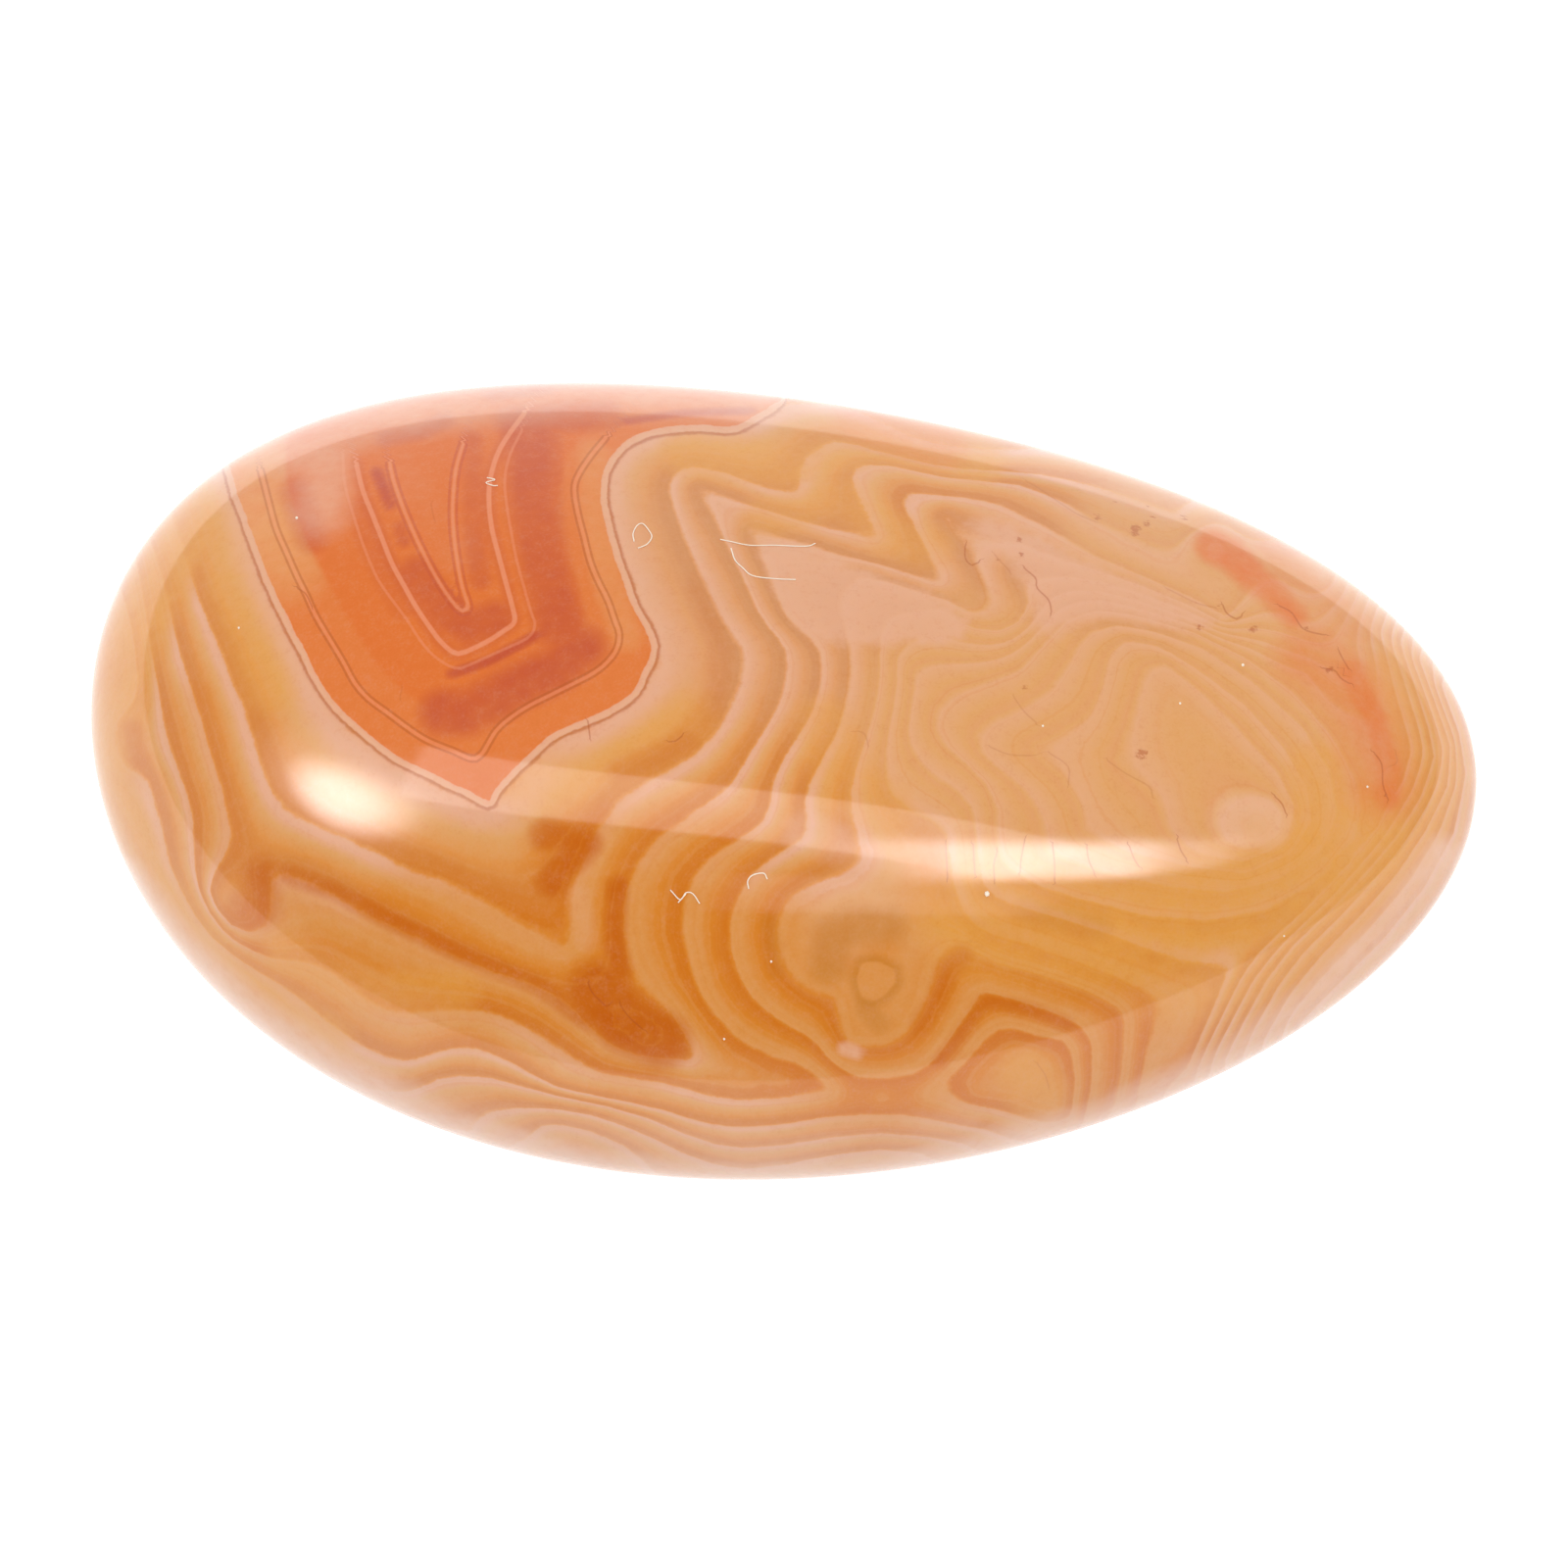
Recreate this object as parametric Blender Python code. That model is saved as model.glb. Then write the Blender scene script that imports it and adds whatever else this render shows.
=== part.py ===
"""Tumbled and polished agate pebble, one solid stone.

Metres, +Z up. X runs along the stone, with the blunt end at -X and the slim end at +X.
Y runs across it. The stone lies on a small flat spot at z = 0, and the origin is the
middle of its bounding box in plan.
"""

import math

import bmesh
import bpy
import numpy as np
from mathutils import Vector

MM = 0.001

# Overall size
HALF_LENGTH = 28.2 * MM
HALF_WIDTH = 18.5 * MM
HALF_HEIGHT = 12.2 * MM

# Egg shape: both sections shrink from the blunt end towards the slim end
WIDTH_TAPER = 2.95 * MM
WIDTH_SWELL_AT_ENDS = 0.6 * MM
HEIGHT_TAPER = 1.3 * MM

# Centre line in plan: a slant and a slight bow
CENTRE_SLANT = -2.0 * MM
CENTRE_BOW = 1.8 * MM

# Flatter faces that tumbling has left. Each is a direction, the distance from the middle
# where the flattening starts, how softly it starts, and the share of the bulge taken off
TOP_FACE = ((0.04, 0.26, 0.96), 9.3 * MM, 1.5 * MM, 0.6)
FRONT_FACE = ((0.0, -0.80, 0.60), 14.6 * MM, 1.5 * MM, 0.6)

# Resting spot: how much of the lowest bulge is worn flat
FOOT_WEAR = 0.3 * MM

# Facets along each edge of the cube that is blown up into the pebble
GRID = 24

STONE_COLOUR = (0.72, 0.36, 0.13, 1.0)
STONE_ROUGHNESS = 0.07


def polish_material():
    """Warm translucent agate with a glassy polish, as one plain colour."""
    material = bpy.data.materials.new("agate")
    material.use_nodes = True
    shader = material.node_tree.nodes["Principled BSDF"]
    shader.inputs["Base Color"].default_value = STONE_COLOUR
    shader.inputs["Roughness"].default_value = STONE_ROUGHNESS
    shader.inputs["Metallic"].default_value = 0.0
    return material


def ball_direction(point):
    """Direction on a ball for a point of the cube, spread so that the cells are even."""
    even = Vector([math.tan(value * math.pi / 4) for value in point])
    return even.normalized()


def worn(point, face):
    """The point after one flatter face has been worn into the pebble."""
    direction, start, softness, share = face
    normal = Vector(direction).normalized()
    rise = (point.dot(normal) - start) / softness
    bulge = softness * float(np.logaddexp(0.0, rise))
    return point - share * bulge * normal


def pebble_point(direction):
    """Point of the stone's skin for a direction on the ball."""
    along = direction.x
    half_width = HALF_WIDTH - WIDTH_TAPER * along + WIDTH_SWELL_AT_ENDS * along ** 2
    half_height = HALF_HEIGHT - HEIGHT_TAPER * along
    centre = CENTRE_SLANT * along + CENTRE_BOW * along ** 2
    point = Vector((
        HALF_LENGTH * along,
        centre + half_width * direction.y,
        half_height * direction.z,
    ))
    for face in (TOP_FACE, FRONT_FACE):
        point = worn(point, face)
    return point


def wear_foot(mesh):
    """Cut the lowest bulge off level and close the cut with one flat face."""
    level = min(vertex.co.z for vertex in mesh.verts) + FOOT_WEAR
    cut = bmesh.ops.bisect_plane(
        mesh,
        geom=mesh.verts[:] + mesh.edges[:] + mesh.faces[:],
        dist=0.001 * MM,
        plane_co=(0.0, 0.0, level),
        plane_no=(0.0, 0.0, 1.0),
        clear_inner=True,
    )
    rim_points = [item for item in cut["geom_cut"] if isinstance(item, bmesh.types.BMVert)]
    rim_edges = [item for item in cut["geom_cut"] if isinstance(item, bmesh.types.BMEdge)]
    for vertex in rim_points:
        vertex.co.z = level
    foot = bmesh.ops.contextual_create(mesh, geom=rim_edges)["faces"]
    for face in mesh.faces:
        face.smooth = face not in foot


def stand_at_origin(mesh):
    """Move the stone so that its foot is at z = 0 under the middle of its plan."""
    corners = np.array([vertex.co for vertex in mesh.verts])
    low = corners.min(axis=0)
    high = corners.max(axis=0)
    middle = (low + high) / 2
    bmesh.ops.translate(mesh, verts=mesh.verts, vec=(-middle[0], -middle[1], -low[2]))


def agate_stone(collection):
    """The whole stone, as one closed solid."""
    mesh = bmesh.new()
    bmesh.ops.create_cube(mesh, size=2.0)
    bmesh.ops.subdivide_edges(mesh, edges=mesh.edges[:], cuts=GRID - 1, use_grid_fill=True)
    for vertex in mesh.verts:
        vertex.co = pebble_point(ball_direction(vertex.co))
    wear_foot(mesh)
    stand_at_origin(mesh)
    bmesh.ops.recalc_face_normals(mesh, faces=mesh.faces)

    data = bpy.data.meshes.new("agate_stone")
    mesh.to_mesh(data)
    mesh.free()
    data.materials.append(polish_material())
    stone = bpy.data.objects.new("agate_stone", data)
    collection.objects.link(stone)
    return stone


def main():
    for item in list(bpy.data.objects):
        bpy.data.objects.remove(item, do_unlink=True)
    collection = bpy.data.collections.new("Agate stone")
    bpy.context.scene.collection.children.link(collection)
    agate_stone(collection)


main()
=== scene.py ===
"""Tumbled and polished agate pebble, dressed for looks.

Metres, +Z up. The stone is one finely cut solid that repeats the plain part's form. Its growth
layers are one height map, drawn as lines of equal height: the height rises towards the red
nest, and each whole step of it is one band that runs from dark amber to milky pink. The lines
are laid out on a drawing plane in front of the stone, and every point of the skin reads its
height along a ray from the plane's eye point. Behind the seen side the layers wander.
"""

import math

import bmesh
import bpy
import numpy as np
from bpy.props import FloatProperty, FloatVectorProperty, IntProperty, PointerProperty
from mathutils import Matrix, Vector
from mathutils.bvhtree import BVHTree


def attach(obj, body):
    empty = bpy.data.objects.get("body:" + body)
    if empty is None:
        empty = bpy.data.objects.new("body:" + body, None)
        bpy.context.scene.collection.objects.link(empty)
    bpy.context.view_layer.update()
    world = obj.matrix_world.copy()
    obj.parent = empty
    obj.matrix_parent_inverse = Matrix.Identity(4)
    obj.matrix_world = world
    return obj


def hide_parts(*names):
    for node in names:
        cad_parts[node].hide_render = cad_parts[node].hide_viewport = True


bl_info = {
    "name": "Polished agate pebble",
    "version": (1, 0, 0),
    "blender": (4, 5, 0),
    "location": "3D View > Sidebar > Agate",
    "description": "A banded agate pebble with its growth layers, lint and stage",
    "category": "Add Mesh",
}

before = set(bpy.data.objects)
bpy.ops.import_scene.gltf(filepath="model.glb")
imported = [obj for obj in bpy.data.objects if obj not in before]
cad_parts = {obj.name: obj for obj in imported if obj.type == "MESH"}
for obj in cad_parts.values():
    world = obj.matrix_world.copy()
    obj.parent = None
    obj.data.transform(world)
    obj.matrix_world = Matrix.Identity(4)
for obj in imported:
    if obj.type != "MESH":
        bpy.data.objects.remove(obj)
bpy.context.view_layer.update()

MM = 0.001

# Form of the stone
WIDTH_TAPER = 2.95 * MM
WIDTH_SWELL_AT_ENDS = 0.6 * MM
HEIGHT_TAPER = 1.3 * MM
CENTRE_SLANT = -2.0 * MM
CENTRE_BOW = 1.8 * MM

# Flatter faces: direction, distance where the flattening starts, softness, share taken off
TOP_FACE = ((0.04, 0.26, 0.96), 9.3 * MM, 1.5 * MM, 0.6)
FRONT_FACE = ((0.0, -0.80, 0.60), 14.6 * MM, 1.5 * MM, 0.6)

# The mesh is drawn this far towards the seen side, so that its cells are finer there
SEEN_SIDE_PULL = 0.33
CUT_TOLERANCE = 0.001 * MM

# Drawing plane of the layers: how its eye point looks at the stone, and its size in pixels
EYE_ELEVATION = math.radians(50.0)
EYE_DISTANCE = 264.6 * MM
EYE_AIM = (0.13 * MM, -1.3 * MM, 11.97 * MM)
EYE_LENS = 150.0
SENSOR = 36.0
CLIP_START = 10.0 * MM
DRAWING_SIZE = 1600

# Growth layers as lines of equal height, in pixels of the drawing plane
NEST_EDGE = (0, (
    (232, 478), (236, 492), (240, 507), (247, 525), (254, 545), (262, 566), (270, 587),
    (280, 610), (290, 630), (300, 650), (310, 668), (320, 690), (330, 706), (340, 720),
    (352, 732), (365, 743), (380, 756), (400, 772), (420, 783), (440, 792), (460, 802),
    (480, 811), (499, 821), (507, 808), (517, 796), (530, 783), (545, 770), (557, 758),
    (567, 750), (582, 743), (600, 736), (622, 726), (642, 714), (652, 702), (657, 690),
    (664, 675), (668, 658), (662, 643), (653, 627), (645, 610), (638, 590), (631, 570),
    (625, 550), (620, 530), (616, 510), (617, 490), (622, 475), (632, 460), (645, 450),
    (665, 442), (690, 438), (720, 437), (750, 438), (775, 425), (795, 412)))
FIRST_BAND = (-1, (
    (178, 532), (183, 548), (190, 570), (198, 595), (206, 618), (216, 643), (226, 665),
    (236, 690), (245, 712), (254, 738), (262, 765), (270, 790), (279, 808), (292, 825),
    (312, 838), (335, 848), (360, 858), (380, 868), (400, 878), (420, 887), (440, 893),
    (460, 902), (480, 911), (500, 922), (520, 935), (542, 946), (560, 955), (576, 963),
    (578, 945), (580, 920), (583, 903), (590, 888), (596, 873), (603, 858), (611, 845),
    (618, 836), (626, 822), (636, 811), (650, 802), (668, 792), (690, 781), (707, 770),
    (720, 758), (732, 745), (741, 730), (749, 712), (755, 695), (758, 680), (757, 663),
    (748, 650), (738, 635), (728, 615), (717, 592), (708, 572), (700, 552), (692, 530),
    (685, 510), (683, 494), (688, 483), (700, 477), (715, 477), (740, 483), (760, 490),
    (780, 497), (800, 502), (813, 502), (814, 488), (818, 474), (826, 463), (838, 454),
    (852, 450), (870, 453), (890, 459), (920, 467), (950, 474), (985, 479), (1020, 481),
    (1060, 484), (1100, 492), (1150, 506), (1200, 524)))
SECOND_BAND = (-2, (
    (150, 545), (158, 565), (165, 585), (172, 612), (178, 640), (184, 665), (191, 688),
    (199, 712), (207, 738), (214, 765), (222, 790), (229, 812), (234, 833), (237, 852),
    (233, 868), (225, 882), (217, 895), (213, 910), (220, 928), (235, 944), (255, 952),
    (270, 945), (275, 930), (275, 910), (278, 893), (290, 890), (303, 893), (320, 900),
    (340, 910), (360, 924), (380, 935), (400, 944), (420, 953), (440, 962), (460, 972),
    (480, 981), (500, 990), (520, 997), (545, 1004), (565, 1014), (585, 1028), (600, 1044),
    (612, 1057), (625, 1066), (643, 1074), (670, 1079), (700, 1081), (708, 1079),
    (702, 1062), (692, 1045), (680, 1031), (665, 1018), (652, 1006), (643, 990), (638, 970),
    (635, 950), (635, 930), (638, 910), (644, 893), (653, 876), (664, 861), (677, 850),
    (692, 840), (707, 829), (725, 817), (742, 803), (752, 790), (761, 775), (771, 759),
    (784, 738), (794, 718), (800, 700), (803, 680), (802, 664), (794, 651), (783, 638),
    (773, 623), (764, 604), (756, 585), (746, 565), (737, 545), (726, 525), (716, 506),
    (712, 495), (722, 499), (740, 506), (760, 514), (780, 520), (800, 526), (830, 535),
    (860, 542), (880, 546), (893, 549), (888, 535), (880, 516), (873, 500), (869, 487),
    (872, 477), (885, 473), (905, 474), (930, 479), (960, 486), (1000, 490), (1040, 494),
    (1080, 509), (1120, 531), (1150, 545), (1190, 560)))
THIRD_BAND = (-3, (
    (138, 560), (143, 590), (148, 620), (152, 650), (157, 680), (162, 705), (167, 735),
    (175, 765), (184, 790), (192, 812), (197, 835), (198, 860), (199, 885), (203, 905),
    (212, 925), (225, 945), (240, 960), (258, 970), (278, 978), (300, 979), (320, 983),
    (337, 990), (350, 1000), (363, 1011), (380, 1022), (400, 1030), (420, 1032),
    (450, 1030), (480, 1030), (503, 1033), (522, 1040), (542, 1050), (560, 1061),
    (580, 1074), (600, 1087), (618, 1095), (650, 1100), (680, 1105), (705, 1112),
    (735, 1120), (760, 1122), (800, 1119), (825, 1116), (846, 1112), (832, 1096),
    (815, 1086), (790, 1080), (767, 1070), (747, 1056), (728, 1035), (713, 1011),
    (703, 985), (698, 960), (696, 940), (698, 920), (703, 905), (711, 890), (722, 877),
    (735, 867), (750, 858), (765, 849), (779, 836), (785, 820), (787, 803), (793, 787),
    (801, 772), (810, 757), (821, 740), (830, 722), (836, 702), (838, 682), (836, 665),
    (826, 652), (812, 640), (800, 628), (793, 610), (785, 590), (777, 570), (769, 550),
    (766, 540), (780, 543), (800, 548), (830, 556), (860, 567), (900, 577), (925, 585),
    (957, 597), (953, 580), (945, 560), (936, 542), (926, 525), (921, 510), (928, 503),
    (945, 504), (970, 507), (1000, 510), (1020, 515), (1040, 525), (1060, 534), (1080, 545),
    (1100, 557), (1120, 568), (1140, 577), (1180, 594), (1220, 612), (1250, 630)))
FOURTH_BAND_LEFT = (-4, (
    (124, 600), (133, 630), (138, 660), (142, 690), (140, 710), (132, 723), (122, 737),
    (118, 752), (122, 770), (132, 783), (148, 793), (155, 805), (160, 825), (166, 845),
    (170, 865), (175, 885), (184, 905), (197, 930), (215, 955), (240, 975), (265, 992),
    (290, 1007), (310, 1022), (330, 1038), (350, 1053), (372, 1068), (395, 1079),
    (420, 1082), (445, 1074), (465, 1069), (485, 1069), (505, 1077), (525, 1086),
    (545, 1098), (565, 1108), (590, 1115), (620, 1121), (650, 1127), (680, 1134),
    (700, 1140), (720, 1146), (750, 1150), (780, 1149), (810, 1145), (840, 1140),
    (880, 1137), (920, 1137), (950, 1142), (980, 1148), (1010, 1153)))
FOURTH_BAND_RIGHT = (-4, (
    (1106, 1138), (1112, 1110), (1113, 1085), (1112, 1062), (1102, 1047), (1085, 1039),
    (1060, 1029), (1030, 1020), (1003, 1013), (988, 1035), (975, 1053), (962, 1073),
    (950, 1087), (932, 1096), (910, 1101), (890, 1101), (870, 1098), (857, 1090),
    (844, 1079), (834, 1066), (822, 1056), (805, 1048), (787, 1037), (771, 1023),
    (758, 1006), (749, 985), (745, 965), (744, 945), (747, 930), (753, 915), (761, 900),
    (771, 888), (784, 877), (798, 868), (812, 860), (821, 850), (823, 838), (821, 822),
    (824, 803), (832, 787), (840, 772), (849, 757), (856, 740), (861, 722), (865, 702),
    (867, 682), (867, 662)))
FOURTH_BAND_TOP = (-4, (
    (880, 586), (900, 592), (925, 599), (950, 607), (975, 618), (990, 625), (1003, 622),
    (1009, 610), (1003, 592), (994, 573), (985, 555), (975, 538), (962, 525)))
FIFTH_BAND_TOP = (-5, (
    (960, 618), (975, 630), (995, 640), (1020, 643), (1040, 634), (1050, 615), (1044, 597),
    (1035, 580)))
FIFTH_BAND_BOTTOM = (-5, (
    (445, 1100), (470, 1097), (500, 1099), (540, 1110), (580, 1120), (620, 1128),
    (660, 1140), (700, 1157), (730, 1167), (760, 1171), (800, 1168), (850, 1160),
    (900, 1156), (950, 1160), (985, 1167)))
SIXTH_BAND_BOTTOM = (-6, (
    (480, 1155), (485, 1143), (500, 1133), (530, 1130), (570, 1132), (605, 1138),
    (640, 1150), (670, 1163), (700, 1177), (730, 1188), (760, 1192), (800, 1188),
    (850, 1178), (900, 1172), (940, 1176)))
SEVENTH_BAND_BOTTOM = (-7, (
    (540, 1160), (550, 1148), (575, 1147), (605, 1155), (635, 1167), (655, 1182),
    (670, 1198)))
FIFTH_BAND_RIGHT = (-5, (
    (1136, 1130), (1143, 1100), (1146, 1070), (1147, 1045), (1142, 1030), (1110, 1012),
    (1080, 1001), (1050, 992), (1020, 984), (1000, 975), (985, 967), (972, 968), (962, 978),
    (956, 997), (948, 1018), (940, 1035), (930, 1050), (918, 1062), (900, 1069),
    (882, 1068), (866, 1066), (858, 1052), (854, 1035), (850, 1019), (830, 1015),
    (812, 1003), (797, 987), (792, 965), (793, 940), (798, 925), (808, 912), (825, 903),
    (845, 896), (862, 889), (874, 880), (877, 865), (871, 845), (868, 825), (868, 803),
    (872, 785), (879, 765), (886, 745), (892, 722), (896, 700), (898, 680), (897, 662)))
SIXTH_BAND_RIGHT = (-6, (
    (1160, 1120), (1165, 1090), (1171, 1062), (1176, 1040), (1180, 1018), (1165, 1010),
    (1140, 998), (1100, 982), (1050, 965), (1015, 955), (995, 945), (982, 930), (974, 905),
    (969, 875), (965, 850), (950, 836), (930, 826), (911, 812), (904, 795), (903, 770),
    (906, 742), (912, 718), (915, 695), (914, 672)))
SEVENTH_BAND_RIGHT = (-7, (
    (1212, 1090), (1228, 1052), (1240, 1025), (1248, 1005), (1255, 988), (1235, 986),
    (1205, 980), (1170, 968), (1130, 953), (1090, 940), (1050, 928), (1020, 918),
    (1003, 903), (998, 875), (995, 845), (990, 825), (975, 808), (955, 795), (938, 780),
    (928, 762), (925, 745), (928, 725), (931, 705), (930, 685)))
EIGHTH_RING = (-8, (
    (1020, 880), (1015, 850), (1015, 825), (1005, 800), (985, 780), (965, 765), (952, 745),
    (955, 722), (975, 705), (1005, 695), (1040, 682), (1065, 655), (1088, 632), (1120, 622),
    (1160, 628), (1220, 645), (1270, 670), (1320, 705), (1360, 750), (1385, 795),
    (1392, 830), (1380, 868), (1340, 905), (1290, 930), (1230, 940), (1170, 935),
    (1110, 920), (1060, 905), (1020, 880)))
NINTH_RING = (-9, (
    (1068, 872), (1062, 838), (1045, 808), (1020, 788), (1000, 770), (992, 750),
    (1010, 735), (1040, 722), (1070, 703), (1095, 665), (1110, 645), (1140, 638),
    (1180, 645), (1230, 662), (1280, 695), (1330, 740), (1358, 785), (1366, 830),
    (1350, 868), (1305, 898), (1250, 911), (1190, 905), (1130, 892), (1068, 872)))
TENTH_RING = (-10, (
    (1105, 850), (1100, 820), (1085, 795), (1060, 775), (1050, 760), (1080, 750),
    (1110, 730), (1125, 695), (1130, 668), (1150, 652), (1180, 658), (1220, 682),
    (1270, 717), (1310, 762), (1335, 802), (1340, 840), (1318, 873), (1270, 893),
    (1210, 885), (1150, 872), (1105, 850)))
ELEVENTH_RING = (-11, (
    (1190, 850), (1180, 815), (1155, 792), (1138, 775), (1150, 745), (1160, 705),
    (1168, 682), (1190, 675), (1230, 707), (1270, 747), (1305, 787), (1322, 825),
    (1310, 858), (1270, 880), (1220, 872), (1190, 850)))
BULLSEYE = (-12, (
    (1240, 845), (1243, 825), (1258, 810), (1278, 806), (1298, 813), (1310, 830),
    (1308, 850), (1292, 865), (1268, 868), (1248, 860), (1240, 845)))
SLIM_END_FIRST = (-8, (
    (1408, 645), (1422, 700), (1435, 745), (1440, 765), (1432, 795), (1412, 830),
    (1395, 858), (1365, 895), (1325, 935), (1285, 972), (1265, 1000), (1250, 1030),
    (1235, 1060), (1222, 1088)))
SLIM_END_SECOND = (-10, (
    (1428, 655), (1442, 695), (1457, 742), (1463, 772), (1450, 812), (1425, 852),
    (1395, 887), (1360, 925), (1318, 965), (1292, 1000), (1270, 1040), (1250, 1080)))
SLIM_END_THIRD = (-12, (
    (1447, 672), (1464, 715), (1480, 760), (1477, 802), (1455, 847), (1425, 892),
    (1390, 932), (1348, 975), (1318, 1012), (1290, 1060)))
SLIM_END_FOURTH = (-14, (
    (1470, 700), (1487, 745), (1495, 790), (1483, 850), (1452, 907), (1412, 957),
    (1362, 1007), (1325, 1045)))
PENTAGON_OUTER = (-3, (
    (956, 1112), (985, 1085), (1005, 1062), (1018, 1052), (1035, 1050), (1060, 1058),
    (1085, 1062), (1093, 1072), (1097, 1100), (1094, 1138)))
PENTAGON_INNER = (-2.45, (
    (1000, 1112), (1015, 1092), (1028, 1078), (1048, 1072), (1064, 1080), (1074, 1100),
    (1078, 1130)))

# Red nest: its own finer lines
NEST_GROOVES = (
    (266, 480), (275, 515), (282, 540), (292, 563), (303, 588), (313, 608), (322, 628),
    (335, 650), (350, 675), (362, 697), (376, 713), (395, 727), (415, 742), (435, 755),
    (462, 766), (487, 774), (505, 747), (520, 733), (540, 720), (560, 710), (580, 700),
    (600, 690), (615, 680), (628, 665), (632, 648), (627, 632), (620, 612), (610, 592),
    (602, 572), (596, 548), (590, 525), (586, 500), (590, 485), (603, 465), (618, 447))
NEST_ZONE = (
    (289, 440), (291, 465), (292, 490), (298, 515), (310, 548), (325, 578), (335, 598),
    (345, 615), (362, 645), (385, 680), (410, 705), (440, 722), (475, 733), (500, 715),
    (530, 696), (560, 678), (585, 660), (594, 640), (596, 620), (588, 590), (578, 560),
    (572, 540), (569, 515), (577, 475), (587, 455), (600, 440))
NEST_FAINT_LINE = (
    (350, 465), (352, 495), (362, 530), (372, 560), (385, 590), (400, 612), (415, 632),
    (430, 655), (445, 671), (465, 682), (480, 678), (500, 669), (520, 660), (540, 650),
    (546, 637), (542, 625), (535, 600), (528, 575), (522, 545), (517, 515), (515, 490),
    (520, 465), (532, 440))
NEST_BRIGHT_LINE = (
    (364, 475), (370, 500), (380, 525), (390, 550), (400, 575), (412, 597), (425, 620),
    (440, 642), (450, 655), (465, 667), (480, 663), (500, 653), (515, 643), (525, 635),
    (523, 620), (515, 590), (507, 560), (502, 540), (499, 515), (500, 490), (507, 465),
    (518, 445), (535, 422))
NEST_INNER_GROOVES = (
    (398, 475), (403, 495), (412, 520), (425, 550), (440, 580), (455, 605), (470, 623),
    (478, 620), (472, 600), (467, 575), (463, 545), (462, 515), (465, 480), (472, 455))

GROWTH_LINES = (
    NEST_EDGE, FIRST_BAND, SECOND_BAND, THIRD_BAND, FOURTH_BAND_LEFT, FOURTH_BAND_RIGHT,
    FOURTH_BAND_TOP, FIFTH_BAND_TOP, FIFTH_BAND_BOTTOM, SIXTH_BAND_BOTTOM,
    SEVENTH_BAND_BOTTOM, FIFTH_BAND_RIGHT, SIXTH_BAND_RIGHT, SEVENTH_BAND_RIGHT,
    EIGHTH_RING, NINTH_RING, TENTH_RING, ELEVENTH_RING, BULLSEYE, SLIM_END_FIRST,
    SLIM_END_SECOND, SLIM_END_THIRD, SLIM_END_FOURTH, PENTAGON_OUTER, PENTAGON_INNER)

# Hair-fine cracks in the skin, each a short line. The eight lines across the long highlight are
# painted shade, where fine grooves break the highlight.
CRACKS_AND_GROOVE_SHADE = (
    ((985, 556), (985, 570), (992, 577), (1000, 573)),
    ((1045, 580), (1057, 590), (1058, 600), (1070, 612), (1073, 625)),
    ((1248, 618), (1252, 626), (1263, 632), (1268, 627)),
    ((1305, 618), (1318, 625), (1328, 640), (1338, 645), (1352, 648)),
    ((1350, 682), (1362, 684), (1368, 692), (1378, 698)),
    ((1366, 664), (1370, 672), (1376, 682)),
    ((1402, 768), (1410, 780), (1411, 800), (1416, 815)),
    ((1300, 812), (1308, 820), (1312, 830)),
    # Painted shade: dark lines where fine grooves break the long highlight.
    ((965, 860), (966, 880), (967, 897)),
    ((993, 862), (994, 880), (995, 893)),
    ((1018, 868), (1014, 882), (1015, 899)),
    ((1046, 856), (1042, 876), (1041, 890)),
    ((1074, 862), (1076, 880), (1076, 899)),
    ((1109, 864), (1111, 878), (1117, 891)),
    ((1152, 862), (1157, 876), (1162, 884)),
    ((1201, 856), (1205, 868), (1211, 877)),
    ((600, 1003), (605, 1014), (618, 1026)),
    ((632, 1024), (642, 1038), (657, 1051)),
    ((683, 757), (690, 756), (697, 750)),
    ((303, 600), (312, 606), (318, 618)),
    ((600, 736), (602, 752)))

# Fainter grooves that polishing has left
FAINT_GROOVES = (
    ((1045, 490), (1060, 498), (1080, 512), (1100, 525), (1120, 533)),
    ((1015, 566), (1022, 574), (1030, 582)),
    ((1190, 600), (1220, 615), (1240, 620)),
    ((1424, 768), (1426, 778), (1418, 782)),
    ((1035, 712), (1045, 726), (1058, 738)),
    ((1010, 762), (1030, 770), (1055, 771)),
    ((1130, 776), (1150, 790), (1172, 802), (1176, 812)),
    ((1070, 768), (1090, 782), (1090, 800)),
    ((873, 746), (882, 748), (886, 760)),
    ((1058, 1085), (1066, 1096), (1070, 1108)),
    ((410, 703), (408, 712)),
    ((440, 515), (443, 530)))

# Small brown blots on the polish: middle and radius
BLOTS = (
    ((1158, 541), 8), ((1170, 534), 5), ((1120, 528), 5), ((1172, 518), 3), ((1176, 527), 3),
    ((1208, 528), 4), ((1138, 510), 3), ((1042, 566), 4), ((1040, 551), 5), ((1020, 570), 4),
    ((1243, 618), 3), ((1279, 642), 5), ((1225, 640), 5), ((1075, 718), 4), ((1045, 702), 3),
    ((1333, 641), 4), ((1356, 683), 5), ((1414, 812), 4), ((883, 622), 2), ((936, 622), 2),
    ((1165, 770), 8), ((755, 535), 3))

# Single heights, where a ridge or a hollow lies between two lines
GROWTH_SPOTS = (
    (-7.4, (1330, 690)), (-7.3, (1385, 745)), (-7.2, (1410, 800)), (-7.3, (1400, 840)),
    (-7.3, (1370, 878)), (-7.4, (1325, 920)), (-7.5, (1280, 955)), (-3.4, (900, 1120)),
    (-3.4, (940, 1118)), (-3.4, (960, 1108)), (-2.4, (760, 1098)), (-2.6, (800, 1105)),
    (-1.8, (600, 1000)), (-1.75, (640, 1050)), (-1.7, (660, 1065)), (-3.6, (1240, 560)),
    (-3.5, (1300, 600)), (-4.2, (1340, 640)), (-5.6, (1380, 680)), (-1.6, (1270, 538)),
    (-2.2, (1350, 588)), (-5.5, (880, 930)), (-5.5, (840, 960)), (-5.45, (893, 1000)),
    (-5.4, (890, 1035)))

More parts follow.
